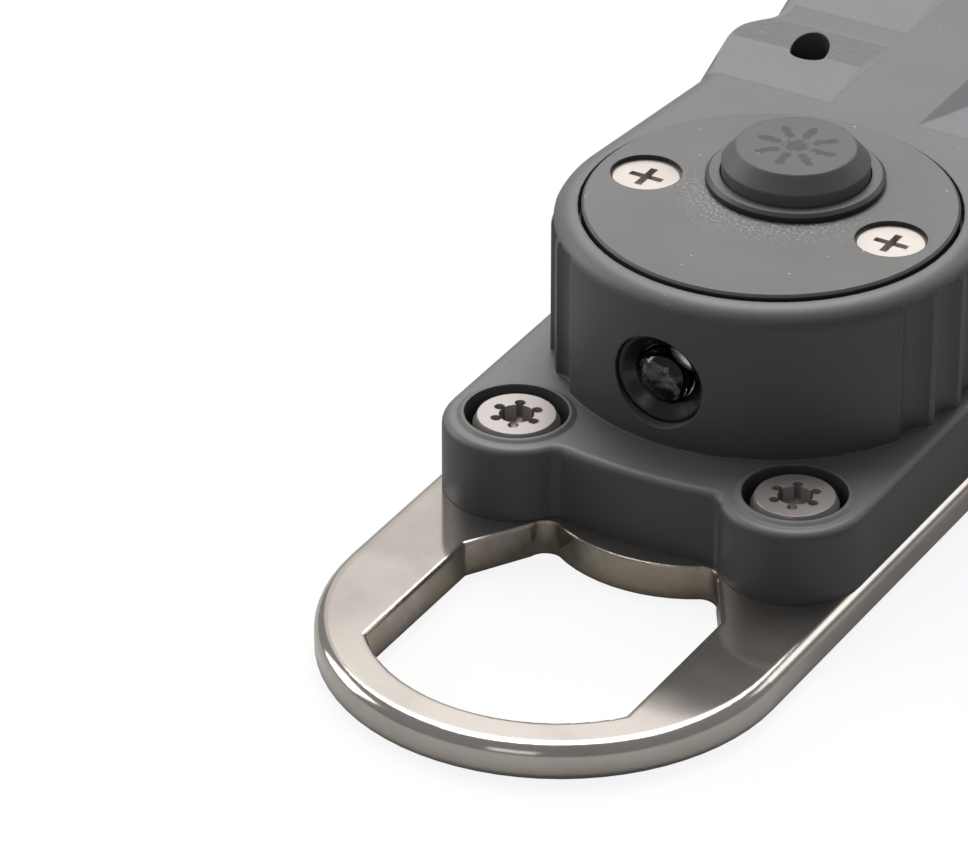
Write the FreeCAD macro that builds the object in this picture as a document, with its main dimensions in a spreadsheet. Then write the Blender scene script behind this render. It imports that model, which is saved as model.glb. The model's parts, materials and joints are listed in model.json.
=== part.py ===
import FreeCAD, Part
import Sketcher
import math
import os
import re

# Hand-held digital fish scale, in millimetres.
# A steel plate with a loop carries a moulded case: a round lamp tower, a finger grip and a display head.
# +Y runs along the plate from the loop to the hook, +Z is up, and the origin is on the tower's axis
# at the plate's underside.

V = FreeCAD.Vector

SIZES = {
    # steel plate
    "plate_half_width": 18.9,
    "plate_thick": 3.0,
    "nose_centre": 34.35,
    "loop_centre": 34.7,
    "loop_inner_radius": 14.85,
    "mouth_half_width": 11.4,
    "mouth_corner": 29.0,
    "lip_half_width": 8.3,
    "lip_corner": 23.9,
    "lobe_half_width": 6.4,
    "lobe_depth": 22.8,
    "lobe_radius": 1.5,
    "tooth_radius": 12.0,
    "plate_top_round": 1.1,
    "plate_low_round": 0.6,
    "mouth_round": 0.35,
    # case outline
    "body_half_width": 18.4,
    "side_gap": 0.05,
    "slab_height": 6.4,
    "slab_round": 0.8,
    "foot_middle": 2.9,
    "foot_face_radius": 44.0,
    "foot_corner_round": 1.2,
    "tower_radius": 17.5,
    "case_height": 19.5,
    "case_round": 1.8,
    "wall": 2.2,
    "floor_thick": 1.8,
    "waist_start": 1.0,
    # finger grip
    "grip_start": 17.0,
    "grip_pitch": 14.0,
    "notch_half_width": 15.9,
    "crest_half_width": 18.2,
    "crest_run": 10.4,
    "crest_return": 13.0,
    "crest_round": 2.8,
    "notch_round": 1.6,
    "scoop_lead": 0.8,
    "scoop_ramp": 8.4,
    "scoop_valley": 0.4,
    "scoop_back": 2.6,
    "scoop_depth": 1.2,
    "scoop_inner": 4.0,
    "scoop_inner_run": 1.7,
    # flutes round the tower
    "flute_radius": 2.3,
    "flute_depth": 0.75,
    "flute_start_left": 42.0,
    "flute_start_right": 69.3,
    "flute_pitch": 12.5,
    "flute_top": 18.5,
    # display head
    "head_gap": 2.0,
    "head_length": 45.0,
    "head_round": 4.0,
    # foot screws
    "screw_across": 12.45,
    "front_screw_back": 19.0,
    "rear_foot_length": 6.0,
    "screw_radius": 2.0,
    "screw_head_radius": 3.5,
    "screw_head_height": 2.3,
    "screw_well_radius": 4.2,
    "star_core_radius": 1.4,
    "star_lobe_across": 1.75,
    "star_lobe_radius": 0.42,
    "star_turn": 50.0,
    "head_edge": 0.35,
    "head_edge_height": 0.7,
    "star_depth": 1.3,
    "thread_gap": 0.03,
    "rim_height": 0.25,
    "rim_width": 0.6,
    # grip screws
    "grip_screw_across": 10.6,
    "grip_screw_run": 10.1,
    "grip_screw_radius": 1.0,
    "grip_well_radius": 1.65,
    "grip_seat": 6.0,
    "grip_boss_radius": 2.8,
    "grip_head_height": 1.3,
    "grip_slot_half": 1.1,
    "grip_slot_width": 0.25,
    "grip_slot_depth": 0.6,
    # cover
    "cover_radius": 15.1,
    "cover_gap": 0.3,
    "cover_seat_depth": 2.0,
    "cover_raise": 0.4,
    "cover_edge": 0.2,
    "tower_bore_radius": 13.2,
    "cover_screw_across": 11.0,
    "cover_screw_front": 0.6,
    "cover_screw_sink": 0.4,
    "cover_screw_radius": 1.25,
    "cover_head_radius": 2.75,
    "cover_head_height": 1.5,
    "cross_half_length": 1.45,
    "cross_half_width": 0.3,
    "cross_depth": 0.8,
    "cover_screw_length": 9.0,
    "cover_boss_radius": 2.4,
    "seal_radius": 14.2,
    "seal_thick": 0.6,
    "seal_squeeze": 0.1,
    # lamp button
    "button_back": 4.2,
    "button_radius": 6.0,
    "button_top_radius": 4.85,
    "button_rise": 3.1,
    "button_chamfer": 1.3,
    "button_travel": 0.6,
    "button_lip": 0.4,
    "slide_gap": 0.1,
    "bezel_radius": 7.25,
    "bezel_sleeve": 0.75,
    "bezel_rise": 0.8,
    "bezel_edge": 0.3,
    "button_flange": 0.7,
    "switch_height": 1.9,
    "switch_half": 3.0,
    "lamp_plunger_radius": 1.6,
    "lamp_board_radius": 8.3,
    "board_thick": 1.0,
    # lamp
    "lamp_across": -0.8,
    "lamp_height": 14.9,
    "lamp_radius": 2.5,
    "lamp_length": 8.0,
    "lamp_collar": 0.4,
    "lamp_lead_across": 1.27,
    "lamp_lead_half": 0.25,
    "lamp_lead_run": 3.5,
    "lamp_well_radius": 4.0,
    "holder_setback": 0.9,
    "holder_length": 5.0,
    "funnel_lip": 0.35,
    "funnel_depth": 0.8,
    # cells
    "cell_radius": 8.0,
    "cell_thick": 3.2,
    "cell_step": 0.4,
    "cell_gap": 0.1,
    "tray_radius": 10.4,
    "tray_floor": 0.6,
    "tray_height": 6.0,
    "contact_thick": 0.4,
    "contact_half_width": 2.0,
    "pillar_across": 5.5,
    "pillar_back": 7.4,
    "pillar_radius": 1.0,
    # display
    "window_half_width": 13.8,
    "window_half_length": 9.4,
    "window_thick": 1.1,
    "window_back": 22.5,
    "bezel_border": 2.4,
    "bezel_height": 0.3,
    "fit_gap": 0.1,
    "aperture_border": 1.2,
    "lcd_thick": 2.4,
    "lcd_border": 0.8,
    "strip_height": 3.0,
    "strip_width": 1.5,
    "main_board_thick": 1.2,
    "board_side_border": 1.4,
    "board_front_gap": 0.2,
    "board_back_gap": 0.5,
    "post_across": 14.2,
    "post_radius": 1.7,
    "post_screw_radius": 0.8,
    "post_screw_length": 4.5,
    "post_head_height": 1.1,
    "post_hole_depth": 5.0,
    "chip_half": 4.0,
    "chip_height": 1.1,
    # keys
    "key_pitch": 10.0,
    "key_run": 6.5,
    "key_radius": 3.3,
    "key_rise": 0.8,
    "key_edge": 0.4,
    "key_travel": 0.5,
    "key_flange": 0.6,
    "key_flange_thick": 0.7,
    "key_switch_half": 2.3,
    "key_switch_height": 1.6,
    "key_plunger_radius": 0.9,
    # load cell and anchor
    "rod_height": 8.5,
    "rod_radius": 2.5,
    "thread_radius": 2.0,
    "anchor_half_width": 8.0,
    "anchor_thick": 5.0,
    "anchor_run": 3.0,
    "anchor_rise": 9.4,
    "anchor_screw_across": 5.2,
    "anchor_screw_radius": 1.5,
    "anchor_head_radius": 2.8,
    "anchor_head_height": 1.5,
    "anchor_screw_length": 5.0,
    "anchor_socket_radius": 1.1,
    "anchor_socket_depth": 0.9,
    "bolt_head_radius": 3.5,
    "bolt_head_length": 4.0,
    "bolt_socket_radius": 1.6,
    "bolt_socket_depth": 2.0,
    "washer_thick": 1.0,
    "washer_radius": 4.5,
    "cell_half_width": 11.0,
    "cell_length": 26.0,
    "cell_half_height": 3.5,
    "cell_leg": 5.7,
    "cell_slot": 1.5,
    "cell_slot_end": 4.0,
    "cell_hole_radius": 3.2,
    "cell_hole_across": 4.2,
    "gauge_thick": 0.2,
    "gauge_half_width": 2.5,
    "gauge_half_length": 1.1,
    "gauge_lead_radius": 0.25,
    "gauge_lead_across": 1.6,
    # pull rod and swivel
    "spout_radius": 6.0,
    "spout_length": 10.0,
    "bush_radius": 3.6,
    "bush_length": 7.0,
    "run_gap": 0.05,
    "rod_overhang": 3.5,
    "neck_radius": 1.7,
    "rivet_radius": 2.5,
    "rivet_thick": 1.4,
    "clevis_base": 3.4,
    "clevis_half_width": 5.0,
    "clevis_half_height": 4.5,
    "ear_thick": 2.2,
    "ear_reach": 9.4,
    "pin_radius": 1.3,
    "pin_head_radius": 2.0,
    "pin_head_thick": 0.8,
    # hook
    "wire_radius": 2.0,
    "eye_bore_radius": 1.5,
    "shank_length": 9.0,
    "swan_length": 15.0,
    "hook_radius": 11.0,
    "hook_straight": 10.0,
    "tip_length": 6.0,
    "hook_droop": 7.5,
    # leads
    "lead_radius": 0.6,
    "lead_across": 5.5,
    "lead_height": 7.0,
    "lead_bend": 6.0,
}
SIZES["slab_top"] = "=plate_thick + slab_height"
SIZES["case_top"] = "=plate_thick + case_height"
SIZES["floor_top"] = "=plate_thick + floor_thick"
SIZES["cover_seat"] = "=case_top - cover_seat_depth"
SIZES["cover_top"] = "=case_top + cover_raise"
SIZES["ceiling"] = "=case_top - wall"
SIZES["boss_radius"] = "=body_half_width - screw_across"
SIZES["head_start"] = "=grip_start + 4 * grip_pitch + head_gap"
SIZES["head_end"] = "=head_start + head_length"
SIZES["rear_screw_y"] = "=head_end + rear_foot_length"
SIZES["plate_end"] = "=rear_screw_y + plate_half_width - screw_across"
SIZES["window_y"] = "=head_end - window_back + wall"
SIZES["key_y"] = "=head_start + key_run + wall"
SIZES["lcd_top"] = "=ceiling"
SIZES["board_top"] = "=lcd_top - lcd_thick - strip_height"
SIZES["lamp_board_top"] = "=cover_seat - button_flange - slide_gap - switch_height - button_travel - slide_gap"
SIZES["anchor_y"] = "=head_start + anchor_run + wall"
SIZES["cell_y"] = "=anchor_y + anchor_thick + washer_thick"
SIZES["cell_end"] = "=cell_y + cell_length"
SIZES["spout_end"] = "=head_end + spout_length"
SIZES["clevis_y"] = "=plate_end + rod_overhang"
SIZES["pin_y"] = "=clevis_y + clevis_base + ear_reach"
SIZES["eye_radius"] = "=eye_bore_radius + wire_radius"

GRIP_BUMPS = 4
FLUTES = {"left": 6, "right": 4}
STAR_LOBES = 6
SIDES = {"left": "-1", "right": "1"}
WELL_BUMPS = (0, GRIP_BUMPS - 1)
KEYS = {"power": "-1", "unit": "0", "hold": "1"}

doc = FreeCAD.newDocument("FishScale")
sheet = doc.addObject("Spreadsheet::Sheet", "Sizes")
for row, (alias, cell) in enumerate(SIZES.items(), start=1):
    sheet.set(f"A{row}", alias.replace("_", " "))
    sheet.set(f"B{row}", str(cell))
    sheet.setAlias(f"B{row}", alias)
doc.recompute()

parts = []


# ---------------------------------------------------------------- expressions


def tied(text):
    """Point each size name in an expression at its cell in the sheet."""
    return re.sub(r"[a-z]\w*", lambda word: ("Sizes." if word[0] in SIZES else "") + word[0], str(text))


def number(text):
    """Work out an expression's value now, for code that needs a plain number."""
    return float(sheet.evalExpression(tied(text)))


def bind(thing, **sizes):
    """Bind properties of an object to expressions."""
    for name, text in sizes.items():
        thing.setExpression(name, tied(text))


# ---------------------------------------------------------------- primitives and booleans

TURNS = {
    "Z": FreeCAD.Rotation(),
    "Y": FreeCAD.Rotation(V(1, 0, 0), -90),
    "X": FreeCAD.Rotation(V(0, 1, 0), 90),
}


def place(thing, x, y, z, along="Z"):
    """Put an object's own origin at a point, with its own Z along a row axis."""
    thing.Placement = FreeCAD.Placement(V(0, 0, 0), TURNS[along])
    for axis, text in zip("xyz", (x, y, z)):
        thing.setExpression(f"Placement.Base.{axis}", tied(text))
    return thing


def cylinder(radius, length, x="0", y="0", z="0", along="Z"):
    thing = doc.addObject("Part::Cylinder", "Cylinder")
    bind(thing, Radius=radius, Height=length)
    return place(thing, x, y, z, along)


def cone(first_radius, last_radius, length, x="0", y="0", z="0", along="Z"):
    thing = doc.addObject("Part::Cone", "Cone")
    bind(thing, Radius1=first_radius, Radius2=last_radius, Height=length)
    return place(thing, x, y, z, along)


def torus(ring_radius, section_radius, x="0", y="0", z="0", along="Z"):
    thing = doc.addObject("Part::Torus", "Torus")
    bind(thing, Radius1=ring_radius, Radius2=section_radius)
    return place(thing, x, y, z, along)


def ball(radius, x="0", y="0", z="0"):
    thing = doc.addObject("Part::Sphere", "Ball")
    bind(thing, Radius=radius)
    return place(thing, x, y, z)


def box(x, y, z):
    """A box from three (low, high) pairs of expressions."""
    thing = doc.addObject("Part::Box", "Block")
    for name, (low, high) in zip(("Length", "Width", "Height"), (x, y, z)):
        thing.setExpression(name, tied(f"({high}) - ({low})"))
    return place(thing, x[0], y[0], z[0])


def centred(half_width, middle="0"):
    """The (low, high) pair of a width centred on a middle."""
    return (f"({middle}) - ({half_width})", f"({middle}) + ({half_width})")


def upward(start, length):
    """The (low, high) pair of a length from its start."""
    return (start, f"({start}) + ({length})")


def fuse(*things):
    if len(things) == 1:
        return things[0]
    result = doc.addObject("Part::MultiFuse", "Join")
    result.Shapes = list(things)
    return result


def cut(base, *tools):
    result = doc.addObject("Part::Cut", "Cut")
    result.Base = base
    result.Tool = fuse(*tools)
    return result


def ring(outer, inner, length, x="0", y="0", z="0", along="Z"):
    return cut(cylinder(outer, length, x, y, z, along), cylinder(inner, length, x, y, z, along))


def group(*things):
    result = doc.addObject("Part::Compound", "Group")
    result.Links = list(things)
    return result


def node(label, thing):
    """Name a finished sub-part, so that it is written to its own file."""
    thing.Label = label
    parts.append(thing)
    return thing


# ---------------------------------------------------------------- sketches and features


def sketch_in(body, role="XY_Plane", lift="0"):
    """A sketch on one of a body's own origin planes, lifted along the plane's normal."""
    sketch = body.newObject("Sketcher::SketchObject", "Sketch")
    plane = next(item for item in body.Origin.OriginFeatures if item.Role == role)
    sketch.AttachmentSupport = (plane, [""])
    sketch.MapMode = "FlatFace"
    sketch.setExpression("AttachmentOffset.Base.z", tied(lift))
    return sketch


def hold(sketch, kind, first, second, text):
    """A sketch dimension bound to an expression."""
    ends = (*first, *second) if second else (first[0],)
    index = sketch.addConstraint(Sketcher.Constraint(kind, *ends, number(text)))
    sketch.setExpression(f"Constraints[{index}]", tied(text))


def arc_between(start, end, radius):
    """The short arc from start to end: anticlockwise for a positive radius, clockwise for a negative one."""
    chord = end - start
    reach = math.sqrt(max(radius ** 2 - (chord.Length / 2) ** 2, 0))
    left = V(-chord.y, chord.x, 0).normalize()
    centre = (start + end) * 0.5 + left * math.copysign(reach, radius)
    first, last = (start, end) if radius > 0 else (end, start)
    angles = [math.atan2((point - centre).y, (point - centre).x) for point in (first, last)]
    return Part.ArcOfCircle(Part.Circle(centre, V(0, 0, 1), abs(radius)), *angles)


def outline(sketch, corners, closed=True):
    """Draw edges through corners (x, y) or (x, y, radius); a radius makes the edge that follows an arc."""
    points = [V(number(corner[0]), number(corner[1]), 0) for corner in corners]
    count = len(corners) if closed else len(corners) - 1
    starts = []
    ends = []
    for index in range(count):
        start = points[index]
        end = points[(index + 1) % len(points)]
        if len(corners[index]) == 2:
            edge = sketch.addGeometry(Part.LineSegment(start, end), False)
            starts.append((edge, 1))
            ends.append((edge, 2))
            continue
        radius = corners[index][2]
        edge = sketch.addGeometry(arc_between(start, end, number(radius)), False)
        forward = number(radius) > 0
        starts.append((edge, 1 if forward else 2))
        ends.append((edge, 2 if forward else 1))
    for index in range(count):
        after = (index + 1) % count
        if closed or after:
            sketch.addConstraint(Sketcher.Constraint("Coincident", *ends[index], *starts[after]))
    spots = starts if closed else starts + [ends[-1]]
    for spot, corner in zip(spots, corners):
        hold(sketch, "DistanceX", (-1, 1), spot, corner[0])
        hold(sketch, "DistanceY", (-1, 1), spot, corner[1])
    for edge, corner in zip(starts, corners):
        if len(corner) == 3:
            hold(sketch, "Radius", edge, None, f"abs({corner[2]})")


def circle_in(sketch, x, y, radius):
    edge = sketch.addGeometry(Part.Circle(V(number(x), number(y), 0), V(0, 0, 1), number(radius)), False)
    hold(sketch, "Radius", (edge,), None, radius)
    hold(sketch, "DistanceX", (-1, 1), (edge, 3), x)
    hold(sketch, "DistanceY", (-1, 1), (edge, 3), y)


def pad(body, sketch, length):
    feature = body.newObject("PartDesign::Pad", "Pad")
    feature.Profile = sketch
    bind(feature, Length=length)
    return feature


def pocket_through(body, sketch):
    """Cut a profile right through, down from its sketch."""
    feature = body.newObject("PartDesign::Pocket", "Pocket")
    feature.Profile = sketch
    feature.Type = "ThroughAll"
    return feature


def round_edges(body, radius, wanted):
    """Round the edges of a body's latest feature that pass a test."""
    doc.recompute()
    base = body.Tip
    names = [f"Edge{index}" for index, edge in enumerate(base.Shape.Edges, start=1) if wanted(edge)]
    feature = body.newObject("PartDesign::Fillet", "Fillet")
    feature.Base = (base, names)
    bind(feature, Radius=radius)
    return feature


def at_height(edge, height):
    return all(abs(vertex.Z - height) < 1e-4 for vertex in edge.Vertexes)


def upright_at(edge, x, y):
    """True for a vertical edge that stands at a place, on either side of the centre line."""
    first = edge.Vertexes[0].Point
    last = edge.Vertexes[-1].Point
    upright = abs(first.z - last.z) > 1e-3 and (first - last).cross(V(0, 0, 1)).Length < 1e-4
    return upright and abs(abs(first.x) - x) < 1e-3 and abs(first.y - y) < 1e-3


def mirrored(corners):
    """Corners of the right side, then the same corners of the left side in reverse."""
    left = [(f"-({corner[0]})", *corner[1:]) for corner in reversed(corners)]
    return corners + left


# ---------------------------------------------------------------- steel plate


def frame_plate():
    """Polished plate: loop with an opener lip at the front, tapped holes under the case."""
    body = doc.addObject("PartDesign::Body", "Plate")
    outer = sketch_in(body)
    side = "plate_half_width"
    corner = "plate_half_width - screw_across"
    outline(outer, [
        (f"-{side}", "-nose_centre", side),
        ("0", f"-nose_centre - {side}", side),
        (side, "-nose_centre"),
        (side, "rear_screw_y", corner),
        ("screw_across", f"rear_screw_y + {corner}"),
        ("-screw_across", f"rear_screw_y + {corner}", corner),
        (f"-{side}", "rear_screw_y"),
    ])
    pad(body, outer, "plate_thick")
    round_edges(body, "plate_top_round", lambda edge: at_height(edge, number("plate_thick")))
    round_edges(body, "plate_low_round", lambda edge: at_height(edge, 0))
    mouth = sketch_in(body, lift="plate_thick")
    arc_end = "-loop_centre - sqrt(loop_inner_radius^2 - mouth_half_width^2)"
    outline(mouth, [
        ("-mouth_half_width", arc_end, "loop_inner_radius"),
        ("0", "-loop_centre - loop_inner_radius", "loop_inner_radius"),
        ("mouth_half_width", arc_end),
        ("mouth_half_width", "-mouth_corner"),
        ("lip_half_width", "-lip_corner", "lobe_radius"),
        ("lobe_half_width", "-lobe_depth", "-tooth_radius"),
        ("-lobe_half_width", "-lobe_depth", "lobe_radius"),
        ("-lip_half_width", "-lip_corner"),
        ("-mouth_half_width", "-mouth_corner"),
    ])
    pocket_through(body, mouth)
    front = number("-loop_centre - loop_inner_radius") - 0.01
    back = number("-lip_corner") + 0.01
    across = number("mouth_half_width") + 0.01
    round_edges(body, "mouth_round", lambda edge: (
        at_height(edge, number("plate_thick")) and edge.BoundBox.YMin > front and edge.BoundBox.YMax < back
        and edge.BoundBox.XMax < across and edge.BoundBox.XMin > -across))
    tools = []
    for sign in SIDES.values():
        for y in ("-front_screw_back", "rear_screw_y"):
            tools.append(plate_hole("screw_radius + thread_gap", f"{sign} * screw_across", y))
        for bump in WELL_BUMPS:
            tools.append(plate_hole("grip_screw_radius + thread_gap", f"{sign} * grip_screw_across",
                                    grip_screw_y(bump)))
        x = f"{sign} * anchor_screw_across"
        y = "anchor_y + anchor_thick / 2"
        tools.append(plate_hole("anchor_screw_radius + thread_gap", x, y))
        tools.append(cone("anchor_head_radius + 2 * thread_gap", "anchor_screw_radius + thread_gap",
                          "anchor_head_height + thread_gap", x, y, "0"))
    return node("frame_plate", cut(body, *tools))


def plate_hole(radius, x, y):
    return cylinder(radius, "plate_thick + 2", x, y, "-1")


def grip_screw_y(bump):
    return f"grip_start + {bump} * grip_pitch + grip_screw_run"


# ---------------------------------------------------------------- case


def case_slab():
    """Low block on the plate, with a rounded foot round each M4 screw."""
    body = doc.addObject("PartDesign::Body", "Slab")
    base = sketch_in(body, lift="plate_thick")
    inner = "(screw_across - sqrt(boss_radius^2 - foot_middle^2))"
    outline(base, [
        ("-body_half_width", "-front_screw_back", "boss_radius"),
        ("-screw_across", "-front_screw_back - boss_radius", "boss_radius"),
        (f"-{inner}", "-front_screw_back - foot_middle", "foot_face_radius"),
        (inner, "-front_screw_back - foot_middle", "boss_radius"),
        ("screw_across", "-front_screw_back - boss_radius", "boss_radius"),
        ("body_half_width", "-front_screw_back"),
        ("body_half_width", "rear_screw_y", "boss_radius"),
        ("screw_across", "rear_screw_y + boss_radius", "boss_radius"),
        (inner, "rear_screw_y + foot_middle"),
        (f"-{inner}", "rear_screw_y + foot_middle", "boss_radius"),
        ("-screw_across", "rear_screw_y + boss_radius", "boss_radius"),
        ("-body_half_width", "rear_screw_y"),
    ])
    pad(body, base, "slab_height")
    inner_x = number(inner)
    front_y = number("-front_screw_back - foot_middle")
    rear_y = number("rear_screw_y + foot_middle")
    round_edges(body, "foot_corner_round", lambda edge: (
        upright_at(edge, inner_x, front_y) or upright_at(edge, inner_x, rear_y)))
    round_edges(body, "slab_round", lambda edge: at_height(edge, number("slab_top")))
    return body


def case_upper():
    """Round tower, finger grip with bumps on both sides, and display head."""
    body = doc.addObject("PartDesign::Body", "Upper")
    base = sketch_in(body, lift="slab_top - slab_round")
    tower_side = "sqrt(tower_radius^2 - waist_start^2)"
    side = [(tower_side, "waist_start")]
    for bump in range(GRIP_BUMPS):
        start = f"grip_start + {bump} * grip_pitch"
        side.append(("notch_half_width", start))
        side.append(("crest_half_width", f"{start} + crest_run"))
        side.append(("notch_half_width", f"{start} + crest_return"))
    side.append(("notch_half_width", "head_start"))
    side.append(("body_half_width - slab_round / 2", "head_start + head_gap"))
    side.append(("body_half_width - slab_round / 2", "head_end"))
    corners = mirrored(side)
    corners[-1] = (*corners[-1], "tower_radius")
    corners.append(("0", "-tower_radius", "tower_radius"))
    outline(base, corners)
    pad(body, base, "case_top - slab_top + slab_round")
    crests = [(number(x), number(y)) for x, y in side[1:] if "crest_half" in x]
    notches = [(number(x), number(y)) for x, y in side[1:] if "notch_half" in x]
    waist_end = notches[0]
    round_edges(body, "crest_round", lambda edge: any(upright_at(edge, *spot) for spot in crests))
    round_edges(body, "notch_round", lambda edge: any(upright_at(edge, *spot) for spot in notches[1:]))
    round_edges(body, "notch_round", lambda edge: upright_at(edge, *waist_end))
    head_side = number("body_half_width - slab_round / 2")
    head_ends = [number("head_start + head_gap"), number("head_end")]
    round_edges(body, "head_round", lambda edge: upright_at(edge, head_side, head_ends[1]))
    round_edges(body, "notch_round", lambda edge: upright_at(edge, head_side, head_ends[0]))
    round_edges(body, "case_round", lambda edge: at_height(edge, number("case_top")))
    return body


def screw_rims():
    """Low raised rims round the foot screws' wells."""
    rims = []
    for sign in SIDES.values():
        for y in ("-front_screw_back", "rear_screw_y"):
            rims.append(cone("screw_well_radius + rim_width", "screw_well_radius + rim_width / 3",
                             "rim_height", f"{sign} * screw_across", y, "slab_top"))
    return rims


def case_spaces():
    """The hollows inside the case."""
    floor = ("plate_thick - 1", "ceiling - scoop_depth")
    channel = "notch_half_width - wall - slab_round"
    room = "body_half_width - wall - slab_round / 2"
    return [
        cylinder("tower_bore_radius", "case_top - floor_top", z="floor_top"),
        cylinder("cover_radius + cover_gap", "cover_seat_depth + 1", z="cover_seat"),
        box(centred(channel), ("tower_radius - wall", "head_start + wall + 1"), floor),
        box(centred("lead_across + 4 * lead_radius"), ("tower_bore_radius - 2", "tower_radius"),
            ("floor_top", "lead_height + 5 * lead_radius")),
        box(centred(room), ("head_start + wall", "head_end - wall"), ("plate_thick - 1", "ceiling")),
    ]


def case_bosses():
    """Screw bosses and posts that stand in the hollows."""
    bosses = []
    for sign in SIDES.values():
        bosses.append(cylinder("cover_boss_radius", "cover_seat - floor_top + slide_gap",
                               f"{sign} * cover_screw_across", "-cover_screw_front",
                               "floor_top - slide_gap"))
        for bump in WELL_BUMPS:
            bosses.append(cylinder("grip_boss_radius", "ceiling - scoop_depth - plate_thick + slide_gap",
                                   f"{sign} * grip_screw_across", grip_screw_y(bump), "plate_thick"))
        for y in post_ys():
            bosses.append(cylinder("post_radius", "ceiling - board_top + slide_gap",
                                   f"{sign} * post_across", y, "board_top"))
    return bosses


def post_ys():
    """Places of the board's posts along the head, just clear of the display at both ends."""
    reach = "(window_half_length + lcd_border + post_radius + 3 * fit_gap)"
    return (f"window_y - {reach}", f"window_y + {reach}")


def screw_holes():
    """Wells and through holes for every screw in the case."""
    holes = []
    for sign in SIDES.values():
        for y in ("-front_screw_back", "rear_screw_y"):
            x = f"{sign} * screw_across"
            holes.append(cylinder("screw_well_radius", "screw_head_height + 1", x, y,
                                  "slab_top - screw_head_height"))
            holes.append(cylinder("screw_radius + slide_gap", "slab_height + 1", x, y, "plate_thick - 0.5"))
        for bump in WELL_BUMPS:
            x = f"{sign} * grip_screw_across"
            y = grip_screw_y(bump)
            holes.append(cylinder("grip_well_radius", "case_height", x, y, "plate_thick + grip_seat"))
            holes.append(cylinder("grip_screw_radius + slide_gap", "case_height", x, y, "plate_thick - 0.5"))
        holes.append(cylinder("cover_screw_radius + thread_gap", "cover_screw_length",
                              f"{sign} * cover_screw_across", "-cover_screw_front",
                              "case_top - cover_screw_length - slide_gap"))
        for y in post_ys():
            holes.append(cylinder("post_screw_radius + thread_gap", "post_hole_depth - slide_gap",
                                  f"{sign} * post_across", y, "board_top - slide_gap"))
    return holes


def flute_cutters():
    """Upright grooves with square tops, side by side round both flanks of the tower."""
    cutters = []
    away = "(tower_radius + flute_radius - flute_depth)"
    for side, sign in SIDES.items():
        for index in range(FLUTES[side]):
            angle = f"(flute_start_{side} + {index} * flute_pitch)"
            x = f"{sign} * {away} * sin({angle})"
            cutters.append(cylinder("flute_radius", "flute_top - slab_height", x, f"-{away} * cos({angle})",
                                    "slab_top"))
    return cutters


def scoop_cutters():
    """Finger scoops open to the grip's sides: a long front ramp, a narrow valley and a short back slope.

    Each cutter is a wedge that starts in the valley and grows evenly to twice the scoop's depth.
    """
    cutters = []
    low_inner = "(scoop_inner + scoop_inner_run)"
    high_inner = "(scoop_inner - scoop_inner_run)"
    for sign in SIDES.values():
        for bump in range(GRIP_BUMPS):
            valley = f"(grip_start + {bump} * grip_pitch + scoop_lead + scoop_ramp)"
            wedge = doc.addObject("Part::Wedge", "Scoop")
            bind(wedge, Ymin="0", Ymax="2 * scoop_depth", Zmin="-scoop_valley", Zmax="0",
                 Z2min="-scoop_valley - 2 * scoop_back", Z2max="2 * scoop_ramp",
                 **wedge_sides(sign, low_inner, high_inner))
            turn = FreeCAD.Rotation(V(1, 0, 0), 90)
            place(wedge, "0", valley, "case_top - scoop_depth")
            wedge.Placement = FreeCAD.Placement(wedge.Placement.Base, turn)
            cutters.append(wedge)
    return cutters


def wedge_sides(sign, low_inner, high_inner):
    """The wedge's extent across: out past the case's side, and in to the inner slope."""
    outer = "(body_half_width + 2)"
    if sign == "1":
        return {"Xmin": low_inner, "Xmax": outer, "X2min": high_inner, "X2max": outer}
    return {"Xmin": f"-{outer}", "Xmax": f"-{low_inner}", "X2min": f"-{outer}", "X2max": f"-{high_inner}"}


def case_openings():
    """Openings through the case's walls: lamp, window, keys and pull rod."""
    openings = [
        cylinder("lamp_well_radius", "tower_radius - tower_bore_radius + 4", "lamp_across",
                 "-tower_radius - 1", "lamp_height", "Y"),
        box(centred("window_half_width + bezel_border + fit_gap"),
            centred("window_half_length + bezel_border + fit_gap", "window_y"),
            ("case_top - window_thick", "case_top + 1")),
        box(centred("window_half_width - aperture_border"),
            centred("window_half_length - aperture_border", "window_y"), ("ceiling - 1", "case_top")),
        cylinder("bush_radius + fit_gap / 2", "spout_length + wall + 1", "0", "head_end - wall - 1",
                 "rod_height", "Y"),
    ]
    for sign in KEYS.values():
        openings.append(cylinder("key_radius + slide_gap", "wall + 2", f"{sign} * key_pitch", "key_y",
                                 "ceiling - 1"))
    return openings


def seal_groove():
    return torus("seal_radius", "seal_thick", z="cover_seat - seal_thick + seal_squeeze")


def main_housing():
    """One moulded shell, open below onto the plate."""
    spout = cylinder("spout_radius", "spout_length + wall", "0", "head_end - wall", "rod_height", "Y")
    clear_plate = box(centred("plate_half_width + side_gap"), ("head_end - wall", "plate_end + 5"),
                      ("-5", "plate_thick"))
    tower = cut(case_upper(), *flute_cutters())
    outside = cut(fuse(case_slab(), tower, *screw_rims(), spout), clear_plate)
    hollow = cut(outside, *case_spaces())
    bossed = fuse(hollow, *case_bosses())
    tools = screw_holes() + scoop_cutters() + case_openings() + [seal_groove()]
    return node("main_housing", cut(bossed, *tools))


# ---------------------------------------------------------------- screws


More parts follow.
